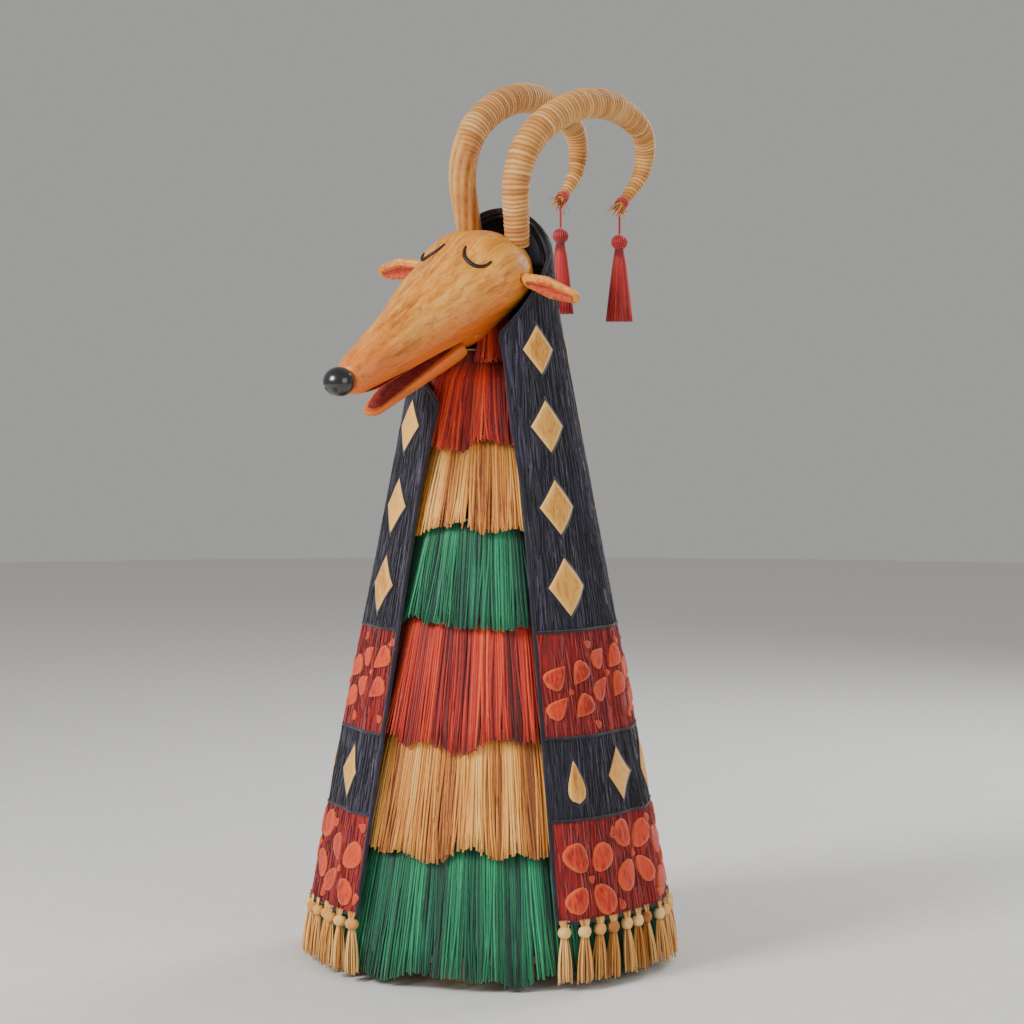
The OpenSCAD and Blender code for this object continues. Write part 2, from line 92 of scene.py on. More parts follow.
YAW_FRAME = turn(-90 - HEAD_YAW, "Z")
TIPPED = YAW_FRAME @ Matrix.Translation((SKULL_FORWARD, 0, SKULL_UP)) @ turn(-HEAD_ROLL, "X")
HEAD_FRAME = TIPPED @ turn(HEAD_PITCH, "Y")


def horn_frame(side):
    seat = Matrix.Translation((-SKULL_FORWARD, side * HORN_GAP, HORN_SEAT - SKULL_UP))
    return TIPPED @ seat @ turn(-side * HORN_SPLAY, "Z") @ turn(-side * HORN_LEAN, "X")


def smooth(x, low, high):
    t = min(max((x - low) / (high - low), 0.0), 1.0)
    return t * t * (3 - 2 * t)


def clamped(x):
    return min(1, max(0, x))


def as_mesh(name, bm):
    mesh = bpy.data.meshes.new(name)
    bm.to_mesh(mesh)
    bm.free()
    return mesh


def in_scene(name, data):
    made = bpy.data.objects.new(name, data)
    bpy.context.scene.collection.objects.link(made)
    return made


# ---- camera, light and floor ----

VIEW_AZIMUTH, VIEW_ELEVATION, VIEW_DISTANCE = 12, 3, 4.05


def set_stage():
    scene = bpy.context.scene
    camera = in_scene("camera", bpy.data.cameras.new("camera"))
    camera.data.lens = 90
    a, e = math.radians(VIEW_AZIMUTH), math.radians(VIEW_ELEVATION)
    back = Vector((math.sin(a) * math.cos(e), -math.cos(a) * math.cos(e), math.sin(e)))
    camera.location = Vector((0.035, 0.0, 0.705)) + back * VIEW_DISTANCE
    camera.rotation_euler = (-back).to_track_quat("-Z", "Y").to_euler()
    scene.camera = camera

    bm = bmesh.new()
    bmesh.ops.create_circle(bm, cap_ends=True, segments=96, radius=9)
    floor = in_scene("floor", as_mesh("floor", bm))
    paint = Finish("floor_paint", Roughness=0.75)
    speck = paint.noise(paint.object_place(), 30, 4)
    paint.colour(paint.ramp(speck, [(0.3, (0.78, 0.77, 0.74)), (0.7, (0.83, 0.82, 0.79))]))
    floor.data.materials.append(paint.material)

    world = bpy.data.worlds.new("studio")
    world.use_nodes = True
    sky = world.node_tree.nodes["Background"].inputs
    sky["Color"].default_value, sky["Strength"].default_value = (0.95, 0.94, 0.92, 1), 0.4
    scene.world = world
    lamps = (("key_light", (-2.4, -2.8, 2.8), 185, 1.3), ("fill_light", (3.0, -2.4, 1.8), 42, 2.4),
             ("rim_light", (1.6, 2.8, 2.6), 80, 1.6))
    for name, place, power, size in lamps:
        lamp = in_scene(name, bpy.data.lights.new(name, "AREA"))
        lamp.data.energy, lamp.data.size = power, size
        lamp.location = place
        lamp.rotation_euler = (Vector((0, 0, 0.75)) - lamp.location).to_track_quat("-Z", "Y").to_euler()


# ---- shader kit ----

class Val:
    """A shader value: arithmetic on it adds the Math nodes."""

    def __init__(self, finish, socket):
        self.finish, self.socket = finish, socket

    def math(self, operation, *values):
        return self.finish.node("ShaderNodeMath", {"operation": operation}, dict(enumerate(values)))

    def __add__(self, other):
        return self.math("ADD", self, other)

    def __sub__(self, other):
        return self.math("SUBTRACT", self, other)

    def __rsub__(self, other):
        return self.math("SUBTRACT", other, self)

    def __mul__(self, other):
        return self.math("MULTIPLY", self, other)

    def apply(self, operation, *values):
        return self.math(operation, self, *values)


class Finish:
    """One material, built from expressions on its shader values."""

    def __init__(self, name, **constants):
        self.material = bpy.data.materials.new(name)
        self.material.use_nodes = True
        self.tree = self.material.node_tree
        self.surface = self.tree.nodes["Principled BSDF"]
        for socket, value in constants.items():
            self.surface.inputs[socket.replace("_", " ")].default_value = value

    def node(self, kind, settings=None, sockets=None, output=0):
        made = self.tree.nodes.new(kind)
        for name, value in (settings or {}).items():
            if name == "stops":
                for k, (place, colour) in enumerate(value):
                    stop = made.color_ramp.elements[k] if k < 2 else made.color_ramp.elements.new(place)
                    stop.position, stop.color = place, (*colour, 1)
            else:
                setattr(made, name, value)
        for name, value in (sockets or {}).items():
            if isinstance(value, Val):
                self.tree.links.new(value.socket, made.inputs[name])
            else:
                made.inputs[name].default_value = value
        return Val(self, made.outputs[output])

    def object_place(self, scale=(1, 1, 1), location=(0, 0, 0), rotation=(0, 0, 0), kind="POINT"):
        here = self.node("ShaderNodeTexCoord", output=3)
        return self.node("ShaderNodeMapping", {"vector_type": kind},
                         {"Vector": here, "Scale": scale, "Location": location, "Rotation": rotation})

    def uv_place(self, scale):
        here = self.node("ShaderNodeTexCoord", output=2)
        return self.node("ShaderNodeMapping", sockets={"Vector": here, "Scale": scale})

    def scaled(self, vector, scale):
        return self.node("ShaderNodeMapping", sockets={"Vector": vector, "Scale": scale})

    def parts(self, vector):
        split = self.node("ShaderNodeSeparateXYZ", sockets={0: vector})
        return [Val(self, out) for out in split.socket.node.outputs]

    def attribute(self, name):
        return self.node("ShaderNodeAttribute", {"attribute_name": name}, output=2)

    def noise(self, where, scale, detail=3, roughness=0.55, distortion=0.0):
        return self.node("ShaderNodeTexNoise", sockets={
            "Vector": where, "Scale": scale, "Detail": detail,
            "Roughness": roughness, "Distortion": distortion})

    def ramp(self, factor, stops):
        return self.node("ShaderNodeValToRGB", {"stops": stops}, {0: factor})

    def between(self, value, low, high):
        return self.node("ShaderNodeMapRange", {"interpolation_type": "SMOOTHSTEP"},
                         {"Value": value, "From Min": low, "From Max": high})

    def mix(self, factor, first, second, blend="MIX"):
        first, second = ((*c, 1) if isinstance(c, tuple) else c for c in (first, second))
        return self.node("ShaderNodeMix", {"data_type": "RGBA", "blend_type": blend},
                         {0: factor, 6: first, 7: second}, output=2)

    def colour(self, value):
        self.tree.links.new(value.socket, self.surface.inputs["Base Color"])

    def rough(self, value):
        self.tree.links.new(value.socket, self.surface.inputs["Roughness"])

    def bump(self, height, distance, strength=1.0):
        normal = self.node("ShaderNodeBump", sockets={
            "Height": height, "Distance": distance, "Strength": strength})
        self.tree.links.new(normal.socket, self.surface.inputs["Normal"])


# ---- finishes ----

def spread(shades, first, last):
    """A ramp's stops: the shades at even places."""
    return [(float(place), shade) for place, shade in zip(np.linspace(first, last, len(shades)), shades)]


def carved_wood(name):
    """Waxed golden wood whose grain runs along the muzzle, with red-brown painted shade under the cheeks and
    over the muzzle and lips, and darker painted shade on the crown round the horn bases.
    """
    wood = Finish(name, Roughness=0.5, Coat_Weight=0.12, Coat_Roughness=0.35)
    along = wood.object_place((1, 1, 1), HEAD_FRAME.to_translation(), HEAD_FRAME.to_euler(), "TEXTURE")
    forward, left, up = wood.parts(along)
    wander = wood.noise(wood.scaled(along, (3, 14, 14)), 1.0, 2)
    streak = wood.noise(wood.scaled(along, (7, 95, 95)), 1.0, 5, 0.62, 0.4)
    fine = wood.noise(wood.scaled(along, (16, 420, 420)), 1.0, 3, 0.6)
    base = wood.ramp(streak * 0.62 + fine * 0.2 + wander * 0.18, [
        (0.35, (0.36, 0.085, 0.006)), (0.45, (0.68, 0.22, 0.018)), (0.54, (0.83, 0.34, 0.042)),
        (0.66, (0.92, 0.48, 0.10))])
    side = left.apply("ABSOLUTE")
    # Painted shade: red-brown under the cheeks and jaw and over the front of the muzzle, broken up along the
    # grain.
    cheek = wood.between(up * -1 + side * 0.35 + wander * 0.05, 0.035, 0.085)
    cheek = cheek * wood.between(forward, -0.02, 0.06)
    muzzle = wood.between(forward, 0.20, 0.30) * 0.55
    red_shade = (cheek * 0.9 + muzzle).apply("MINIMUM", 0.92) * wood.between(streak, 0.25, 0.56)
    base = wood.mix(red_shade, base, (0.80, 0.14, 0.012))
    # Painted shade: darker orange on the crown, where the horns meet the head.
    horn_base_shade = wood.between(up, 0.035, 0.07) * wood.between(forward * -1, -0.02, 0.05)
    base = wood.mix(horn_base_shade * 0.45 * fine, base, (0.72, 0.26, 0.06))
    line = wood.between(wood.noise(wood.scaled(along, (5, 150, 150)), 1.0, 2, 0.5, 0.8), 0.60, 0.68)
    base = wood.mix(line * 0.55, base, (0.38, 0.13, 0.03))
    wood.colour(base)
    wood.rough(streak * -0.25 + 0.62)
    wood.bump(streak * 0.7 + fine * 0.3 - line * 0.35, 0.0016, 0.55)
    return wood


def horn_winding(name):
    """Straw wound in close turns: each turn has its own tone, and the seams between turns carry painted
    shade.
    """
    straw = Finish(name, Roughness=0.6, Sheen_Weight=0.15)
    tone, groove = straw.attribute("tone"), straw.attribute("groove")
    fibre = straw.noise(straw.uv_place((9, 900, 1)), 1.0, 3, 0.6, 0.3)
    blotch = straw.noise(straw.object_place(), 22, 2)
    base = straw.ramp(tone * 0.5 + fibre * 0.3 + blotch * 0.3 - 0.05, [
        (0.28, (0.44, 0.14, 0.018)), (0.46, (0.70, 0.31, 0.055)), (0.62, (0.83, 0.46, 0.12)),
        (0.8, (0.91, 0.62, 0.25))])
    # Painted shade: the grooves between the turns are darkened.
    base = straw.mix(groove * 0.9, base, (0.27, 0.06, 0.01))
    straw.colour(base)
    straw.bump(fibre - groove * 0.3, 0.0008, 0.6)
    return straw


def strand_finish(name, shades, sheen=0.15, roughness=0.62, lift=0.0):
    """Hanging strands: shades run from the shadowed ones to the bright ones, and every strand has a tone."""
    strand = Finish(name, Roughness=roughness, Sheen_Weight=sheen)
    tone, along = strand.attribute("tone"), strand.attribute("along")
    fibre = strand.noise(strand.object_place((420, 420, 9)), 1.0, 3, 0.6)
    drift = strand.noise(strand.object_place((16, 16, 5)), 1.0, 2)
    amount = tone * 0.52 + fibre * 0.28 + drift * 0.3 - 0.08 + lift
    base = strand.ramp(amount, spread(shades, 0.26, 0.78))
    shadow = (1 - strand.between(along, 0.0, 0.16)) * 0.6
    base = strand.mix(shadow, base, tuple(c * 0.25 for c in shades[0]))
    strand.colour(base)
    strand.bump(fibre, 0.0006, 0.5)
    return strand


def wool_cloth(name, shades, weave=(160, 160, 22)):
    """Fulled wool with brushed streaks that run down the cloth."""
    wool = Finish(name, Roughness=0.9, Sheen_Weight=0.25, Sheen_Roughness=0.5)
    streak = wool.noise(wool.object_place(weave), 1.0, 5, 0.65, 0.5)
    cloud = wool.noise(wool.object_place((9, 9, 4)), 1.0, 3)
    fuzz = wool.noise(wool.object_place(), 900, 2, 0.7)
    amount = streak * 0.6 + cloud * 0.3 + fuzz * 0.12
    wool.colour(wool.ramp(amount, spread(shades, 0.36, 0.68)))
    wool.bump(streak * 0.7 + fuzz * 0.4, 0.0014, 0.7)
    return wool


def felt(name, middle, rim, dark):
    """Cut felt patch with brushed marks, and a rim of its own shade."""
    patch = Finish(name, Roughness=0.85, Sheen_Weight=0.2)
    brush = patch.noise(patch.object_place((180, 180, 40)), 1.0, 4, 0.65, 0.6)
    fuzz = patch.noise(patch.object_place(), 1100, 2, 0.7)
    tone, edge = patch.attribute("tone"), patch.attribute("edge")
    base = patch.ramp(brush * 0.85 + tone * 0.15, [(0.38, dark), (0.54, middle)])
    base = patch.mix(patch.between(edge, 0.55, 1.0) * 0.75, base, rim)
    patch.colour(base)
    patch.bump(brush * 0.5 + fuzz * 0.5, 0.001, 0.6)
    return patch


def timber(name, light, dark, grain_axis="Z", scale=1.0):
    """Planed timber with growth lines along one axis."""
    wood = Finish(name, Roughness=0.55)
    stretch = {"X": (3, 60, 60), "Y": (60, 3, 60), "Z": (60, 60, 3)}[grain_axis]
    where = wood.object_place(tuple(s * scale for s in stretch))
    grain = wood.noise(where, 1.0, 5, 0.6, 1.2)
    pore = wood.noise(wood.scaled(where, (7, 7, 7)), 1.0, 2, 0.6)
    wood.colour(wood.ramp(grain * 0.75 + pore * 0.25, [(0.34, dark), (0.62, light)]))
    wood.rough(grain * -0.2 + 0.65)
    wood.bump(grain * 0.6 + pore * 0.4, 0.0008, 0.4)
    return wood


def plain_finish(name, light, dark, scale, bump, **constants):
    """A finish of two close shades with a fine surface texture."""
    made = Finish(name, **constants)
    grit = made.noise(made.object_place(), scale, 4, 0.65)
    made.colour(made.ramp(grit, [(0.35, dark), (0.65, light)]))
    made.bump(grit, bump, 0.5)
    return made


RED_SHADES = [(0.05, 0.0, 0.0), (0.22, 0.003, 0.001), (0.48, 0.012, 0.003),
              (0.7, 0.04, 0.006), (0.84, 0.13, 0.018)]
STRAW_SHADES = [(0.22, 0.055, 0.005), (0.52, 0.16, 0.015), (0.78, 0.3, 0.035),
                (0.88, 0.42, 0.075), (0.94, 0.58, 0.17)]
GREEN_SHADES = [(0.0, 0.014, 0.012), (0.0, 0.055, 0.028), (0.0, 0.14, 0.055),
                (0.002, 0.24, 0.095), (0.02, 0.38, 0.15)]
DARK_SHADES = [(0.002, 0.002, 0.005), (0.006, 0.005, 0.013), (0.016, 0.013, 0.032),
               (0.045, 0.034, 0.078), (0.12, 0.095, 0.18)]
CLARET_SHADES = [(0.12, 0.001, 0.002), (0.22, 0.003, 0.004), (0.33, 0.007, 0.006),
                 (0.44, 0.016, 0.011), (0.56, 0.04, 0.02)]
CREAM_SHADES = [(0.42, 0.14, 0.015), (0.72, 0.3, 0.05), (0.87, 0.45, 0.11),
                (0.93, 0.57, 0.19), (0.96, 0.69, 0.31)]
CRIMSON_SHADES = [(0.07, 0.0, 0.002), (0.26, 0.001, 0.004), (0.48, 0.004, 0.007),
                  (0.64, 0.012, 0.01), (0.78, 0.05, 0.025)]

set_stage()
CARVED = carved_wood("golden_carved_wood")
WINDING = horn_winding("wound_straw")
STRAND = {colour: strand_finish(colour + "_strands", shades)
          for colour, shades in (("red", RED_SHADES), ("straw", STRAW_SHADES), ("green", GREEN_SHADES))}
DARK_NAP = strand_finish("dark_wool_locks", DARK_SHADES, 0.3, 0.8, -0.04)
CLARET_NAP = strand_finish("claret_wool_locks", CLARET_SHADES, 0.3, 0.85)
CREAM_YARN = strand_finish("cream_yarn", CREAM_SHADES, 0.2, 0.75)
CRIMSON_YARN = strand_finish("crimson_yarn", CRIMSON_SHADES, 0.35, 0.5)
CRIMSON_CORD = plain_finish("crimson_cord", (0.62, 0.012, 0.02), (0.32, 0.002, 0.008), 900, 0.0005,
                            Roughness=0.6)
DARK_CLOTH = wool_cloth("dark_wool", DARK_SHADES[:4])
CLARET_CLOTH = wool_cloth("claret_wool", CLARET_SHADES[:4])
CREAM_FELT = felt("cream_felt", (0.86, 0.43, 0.075), (0.91, 0.54, 0.14), (0.62, 0.18, 0.015))
LEAF_FELT = felt("orange_felt", (0.72, 0.055, 0.008), (0.80, 0.13, 0.025), (0.36, 0.008, 0.003))
LACQUER = plain_finish("black_lacquer", (0.012, 0.011, 0.013), (0.003, 0.003, 0.004), 60, 0.0006,
                       Roughness=0.28, Coat_Weight=0.8, Coat_Roughness=0.12)
EYELID = plain_finish("black_leather_strip", (0.014, 0.011, 0.01), (0.004, 0.003, 0.003), 300, 0.0004,
                      Roughness=0.55)
SUEDE = plain_finish("red_suede", (0.74, 0.13, 0.05), (0.50, 0.04, 0.018), 190, 0.001, Roughness=0.9)
MAROON = plain_finish("maroon_leather", (0.40, 0.045, 0.03), (0.20, 0.012, 0.012), 120, 0.0012, Roughness=0.6)
ASH = timber("oiled_ash", (0.72, 0.54, 0.32), (0.52, 0.34, 0.16))
DARK_ASH = timber("blackened_ash", (0.022, 0.018, 0.026), (0.007, 0.006, 0.009))
ASH_BEAM = timber("oiled_ash_beam", (0.72, 0.54, 0.32), (0.52, 0.34, 0.16), "X")
BOARD = timber("oiled_board", (0.62, 0.44, 0.25), (0.42, 0.27, 0.12), "Y", 0.6)
STEEL = plain_finish("steel", (0.62, 0.62, 0.63), (0.5, 0.5, 0.51), 400, 0.0002, Roughness=0.35, Metallic=1.0)
WASHER = plain_finish("waxed_leather", (0.36, 0.20, 0.10), (0.22, 0.11, 0.05), 260, 0.0006, Roughness=0.6)
SHEAF = strand_finish("tied_straw", STRAW_SHADES, 0.1, 0.7, -0.1)
TWINE = plain_finish("hemp_twine", (0.62, 0.45, 0.24), (0.36, 0.23, 0.10), 700, 0.0006, Roughness=0.9)


# ---- mesh helpers ----

def keep(name, bm, finish, slot, body=None, node=None):
    """Turns a bmesh into a piece with its material and body, and may put it in a CAD node's place."""
    return keep_mesh(name, as_mesh(name, bm), finish, slot, body, node)


def keep_mesh(name, mesh, finish, slot, body=None, node=None):
    mesh.name = name
    mesh.materials.clear()
    mesh.materials.append(finish.material)
    mesh.shade_smooth()
    piece = in_scene(name, mesh)
    if body:
        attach(piece, body)
    if node:
        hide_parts(node)
    return piece


def under_modifier(name, mesh, kind, **settings):
    """A new mesh: what one modifier makes of this one."""
    piece = in_scene(name, mesh)
    modifier = piece.modifiers.new("work", kind)
    for setting, value in settings.items():
        setattr(modifier, setting, value)
    made = bpy.data.meshes.new_from_object(piece.evaluated_get(bpy.context.evaluated_depsgraph_get()))
    bpy.data.objects.remove(piece)
    return made


def face_out(bm):
    bmesh.ops.recalc_face_normals(bm, faces=bm.faces)


def value_layers(bm, *names):
    return [bm.verts.layers.float.new(name) for name in names]


def set_values(mesh, name, values):
    layer = mesh.attributes.new(name, "FLOAT", "POINT")
    layer.data.foreach_set("value", np.asarray(values, np.float32))


def warp(across, along, shape, closed=False):
    """A grid whose points (u, v), each from 0 to 1, are carried to shape(u, v)."""
    bm = bmesh.new()
    uv = bm.loops.layers.uv.new("UVMap")
    bmesh.ops.create_grid(bm, x_segments=across, y_segments=along, size=0.5)
    for face in bm.faces:
        for loop in face.loops:
            loop[uv].uv = (loop.vert.co.x + 0.5, loop.vert.co.y + 0.5)
    for vert in bm.verts:
        vert.co = shape(vert.co.x + 0.5, vert.co.y + 0.5)
    if closed:
        bmesh.ops.remove_doubles(bm, verts=bm.verts, dist=1e-6)
    return bm


def tube(path, radius, around, along):
    """A closed tube: path(v) gives its centre and two directions across it, radius(u, v) its wall."""
    def shape(u, v):
        centre, one, two = path(v)
        angle = 2 * math.pi * u
        return centre + (one * math.cos(angle) + two * math.sin(angle)) * radius(u, v)

    bm = warp(around, along, shape, closed=True)
    bmesh.ops.holes_fill(bm, edges=[e for e in bm.edges if e.is_boundary], sides=0)
    face_out(bm)
    return bm


def line_path(points, up=Vector((0, 0, 1))):
    """A path along a list of points, with the directions across it."""
    points = [Vector(p) for p in points]

    def path(v):
        place = min(v, 0.99999) * (len(points) - 1)
        k = int(place)
        centre = points[k].lerp(points[k + 1], place - k)
        ahead = points[min(k + 2, len(points) - 1)] - points[max(k - 1, 0)]
        one = ahead.cross(up)
        if one.length < 1e-9:
            one = ahead.orthogonal()
        one.normalize()
        return centre, one, one.cross(ahead).normalized()
    return path


def strands(name, lines, finish, slot, body, segments, node=None):
    """Many thin strands in one piece.

    Each line is (centre points, side directions, half widths, half thickness, tone).
    """
    bm = bmesh.new()
    bmesh.ops.create_cone(bm, cap_ends=True, segments=4, radius1=1, radius2=1, depth=segments)
    upright = [e for e in bm.edges if abs(e.verts[0].co.z - e.verts[1].co.z) > 0.5]
    bmesh.ops.subdivide_edges(bm, edges=upright, cuts=segments - 1, use_grid_fill=True)
    mesh = as_mesh(name, bm)
    one = np.zeros(len(mesh.vertices) * 3, np.float32)
    mesh.vertices.foreach_get("co", one)
    one = one.reshape(-1, 3)
    ring = np.rint(one[:, 2] + segments / 2).astype(int)
    many = under_modifier(name, mesh, "ARRAY", count=len(lines), use_relative_offset=False)

    centre = np.array([line[0] for line in lines], float)
    side = np.array([line[1] for line in lines], float)
    half = np.array([line[2] for line in lines], float)[:, :, None]
    thick = np.array([line[3] for line in lines], float)[:, None, None]
    ahead = np.gradient(centre, axis=1)
    out = np.cross(ahead, side)
    out /= np.linalg.norm(out, axis=2, keepdims=True) + 1e-12
    place = (centre[:, ring] + side[:, ring] * half[:, ring] * one[None, :, 0:1]
             + out[:, ring] * thick * one[None, :, 1:2])
    many.vertices.foreach_set("co", place.reshape(-1).astype(np.float32))
    set_values(many, "tone", np.repeat([line[4] for line in lines], len(one)))
    set_values(many, "along", np.tile(ring / segments, len(lines)))
    many.update()
    return keep_mesh(name, many, finish, slot, body, node)


def softened(name, node, voxel, rounds, finish, slot, body, shape):
    """A CAD node's own solid, remeshed finely, eased and then moved by shape(vert), in that node's place."""
    bm = bmesh.new()
    bm.from_mesh(nodes[node].data)
    bmesh.ops.remove_doubles(bm, verts=bm.verts, dist=1e-6)
    fine = under_modifier(name, as_mesh(name, bm), "REMESH", mode="VOXEL", voxel_size=voxel)
    bm = bmesh.new()
    bm.from_mesh(fine)
    for _ in range(rounds):
        bmesh.ops.smooth_vert(bm, verts=bm.verts, factor=0.5,
                              use_axis_x=True, use_axis_y=True, use_axis_z=True)
    bm.normal_update()
    for vert, move in [(v, shape(v)) for v in bm.verts]:
        vert.co += move
    return keep(name, bm, finish, slot, body, node)


# ---- the cloak's surface ----

def cone_r(z):
    return CLOAK_FLOOR_R - CLOAK_TAPER * z


DOME_MEAN = (DOME_R + DOME_H) / 2
RIM_TOP_TURN = math.acos(-RIM_X / DOME_R)
CLOAK_TOP = DOME_BASE + DOME_MEAN * RIM_TOP_TURN


def profile(h):
    """Radius and height of the cloak at a distance h up its cloth, counted as height below the dome."""
    if h <= CONE_TOP:
        return cone_r(h), h
    if h <= DOME_BASE:
        t = (h - CONE_TOP) / (DOME_BASE - CONE_TOP)
        return cone_r(CONE_TOP) * (1 - t) + DOME_R * t, h
    angle = (h - DOME_BASE) / DOME_MEAN
    return DOME_R * math.cos(angle), DOME_BASE + DOME_H * math.sin(angle)


def fold(theta, h):
    """Loose vertical folds of the cloth, deepest at the hem."""
    depth = 0.0062 * (1 - smooth(h, 0.15, 0.98))
    wave = (0.5 * math.sin(9 * theta + 0.7) + 0.3 * math.sin(17 * theta + 2 + 2 * h)
            + 0.2 * math.sin(29 * theta - 3 * h))
    return depth * (wave + 0.55)


def cloak_point(theta, h, off=0.0):
    """Point on the cloak: theta from straight ahead towards +X, h up the cloth, off the outer face."""
    r, z = profile(h)
    r1, z1 = profile(h + 0.002)
    slope = Vector((r1 - r, z1 - z)).normalized()
    r += slope.y * off + fold(theta, h)
    z -= slope.x * off
    return Vector((r * math.sin(theta), -r * math.cos(theta), z))


def edges(h):
    """Angles of the cloak's two front edges at a height, viewer's left first."""
    r, _ = profile(h)
    z = min(h, FRONT_EDGE[-1][0])
    low, high = (FRONT_EDGE[0], FRONT_EDGE[1]) if z < FRONT_EDGE[1][0] else (FRONT_EDGE[1], FRONT_EDGE[2])
    half = low[1] + (high[1] - low[1]) * (z - low[0]) / (high[0] - low[0])
    drape = math.asin(half / cone_r(z))
    t = clamped((h - RIM_LOW) / (DOME_BASE - RIM_LOW))
    rim = math.acos(max(-1, min(1, (RIM_LOW_X * (1 - t) + RIM_X * t) / r)))
    ahead = -math.radians(HEAD_YAW)
    blend = smooth(h, 0.87, 0.965)
    return (-drape * (1 - blend) + (ahead - rim) * blend, drape * (1 - blend) + (ahead + rim) * blend)


def cloak_cloth(name, low, high, finish, slot, across, along, replaced, body=None):
    def shape(u, v):
        h = low + (high - low) * v
        left, right = edges(h)
        return cloak_point(right + (2 * math.pi + left - right) * u, h)

    bm = warp(across, along, shape)
    bmesh.ops.remove_doubles(bm, verts=bm.verts, dist=1e-5)
    face_out(bm)
    test = max(bm.faces, key=lambda f: f.calc_center_median().y)
    if test.normal.y < 0:
        bmesh.ops.reverse_faces(bm, faces=bm.faces)
    area = sum(f.calc_area() for f in bm.faces)
    bmesh.ops.solidify(bm, geom=bm.faces[:], thickness=CLOTH_T * 0.85)
    piece = keep(name, bm, finish, slot, body)
    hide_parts(*replaced)
    area / (high - low)
    high - low
    return piece


def across_joint(piece):
    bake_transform(piece)


def nap(name, low, high, count, finish, slot, body, length=0.055, width=0.0013):
    """Brushed locks of wool that lie down the cloth."""
    segments, lines = 4, []
    while len(lines) < count:
        h = low + (high - low) * draw.random()
        left, right = edges(h)
        span = 2 * math.pi + left - right
        r, _ = profile(h)
        if draw.random() > r / cone_r(low):
            continue
        theta = right + span * draw.random()
        long = length * draw.uniform(0.6, 1.3)
        lean, curl = draw.normal(0, 0.05), draw.normal(0, 0.012)
        centre, side = [], []
        for k in range(segments + 1):
            t = k / segments
            here = min(max(h + long * (0.5 - t), low + 0.002), high - 0.002)
            l2, r2 = edges(here)
            angle = theta + (lean * (t - 0.5) * long + curl * math.sin(3.1 * t) * long) / max(r, 0.03)
            angle = min(max(angle, r2 + 0.01), 2 * math.pi + l2 - 0.01)
            centre.append(cloak_point(angle, here, 0.0006 + 0.0009 * draw.random() * math.sin(math.pi * t)))
            side.append((math.cos(angle), math.sin(angle), 0))
        half = width * draw.uniform(0.6, 1.4)
        taper = [half * (0.35 + 0.65 * math.sin(math.pi * (0.12 + 0.76 * k / segments)))
                 for k in range(segments + 1)]
        lines.append((centre, side, taper, 0.0007, draw.random()))
    return strands(name, lines, finish, slot, body, segments)


def cloak_tube(name, theta_h, radius, finish, slot, body=None, along=120, off=0.0):
    """A rolled edge or piping that follows the cloak."""
    points = [cloak_point(*theta_h(k / along), off) for k in range(along + 1)]
    bm = tube(line_path(points, Vector((0.03, 0.02, 1))), lambda u, v: radius, 8, along)
    return keep(name, bm, finish, slot, body)


def patch_blank():
    """A square tile, finely divided on its two faces, from -1 to 1."""
    bm = bmesh.new()
    bmesh.ops.create_cube(bm, size=2)
    flat = [e for e in bm.edges if abs(e.verts[0].co.z - e.verts[1].co.z) < 1]
    bmesh.ops.subdivide_edges(bm, edges=flat, cuts=10, use_grid_fill=True)
    return as_mesh("patch_blank", bm)


BLANK = patch_blank()


def patch_piece(name, patches, finish, slot, body=None, node=None):
    """Sewn patches. Each is (theta, h, spin, outline, height, tone); outline(x, y) is a place on it."""
    bm = bmesh.new()
    for _ in patches:
        bm.from_mesh(BLANK)
    tone, edge = value_layers(bm, "tone", "edge")
    size = len(BLANK.vertices)
    for k, vert in enumerate(bm.verts):
        theta, h, spin, outline, height, shade = patches[k // size]
        r, _ = profile(h)
        x, y, top = vert.co.x, vert.co.y, vert.co.z > 0
        rim = max(abs(x), abs(y))
        px, py = outline(x, y)
        c, s = math.cos(spin), math.sin(spin)
        rise = height * (1 - 0.42 * rim ** 6) if top else -0.0008
        vert[tone], vert[edge] = shade, rim
        vert.co = cloak_point(theta + (px * c - py * s) / r, h + px * s + py * c, rise)
    face_out(bm)
    return keep(name, bm, finish, slot, body, node)


def rhombus(width, height):
    return lambda x, y: ((x + y) * width / 4, (y - x) * height / 4)


def leaf_outline(width, length):
    def outline(x, y):
        swell = (1 - x * x) ** 0.5 * (1.18 + 0.25 * x)
        return x * length / 2, y * swell * width / 2
    return outline


def drop_outline(width, height):
    def outline(x, y):
        swell = math.sqrt(max(0.0, 1 - y * y)) * (0.75 - 0.55 * y) + 0.03
        return x * swell * width / 2, y * height / 2
    return outline


# ---- cloak ----

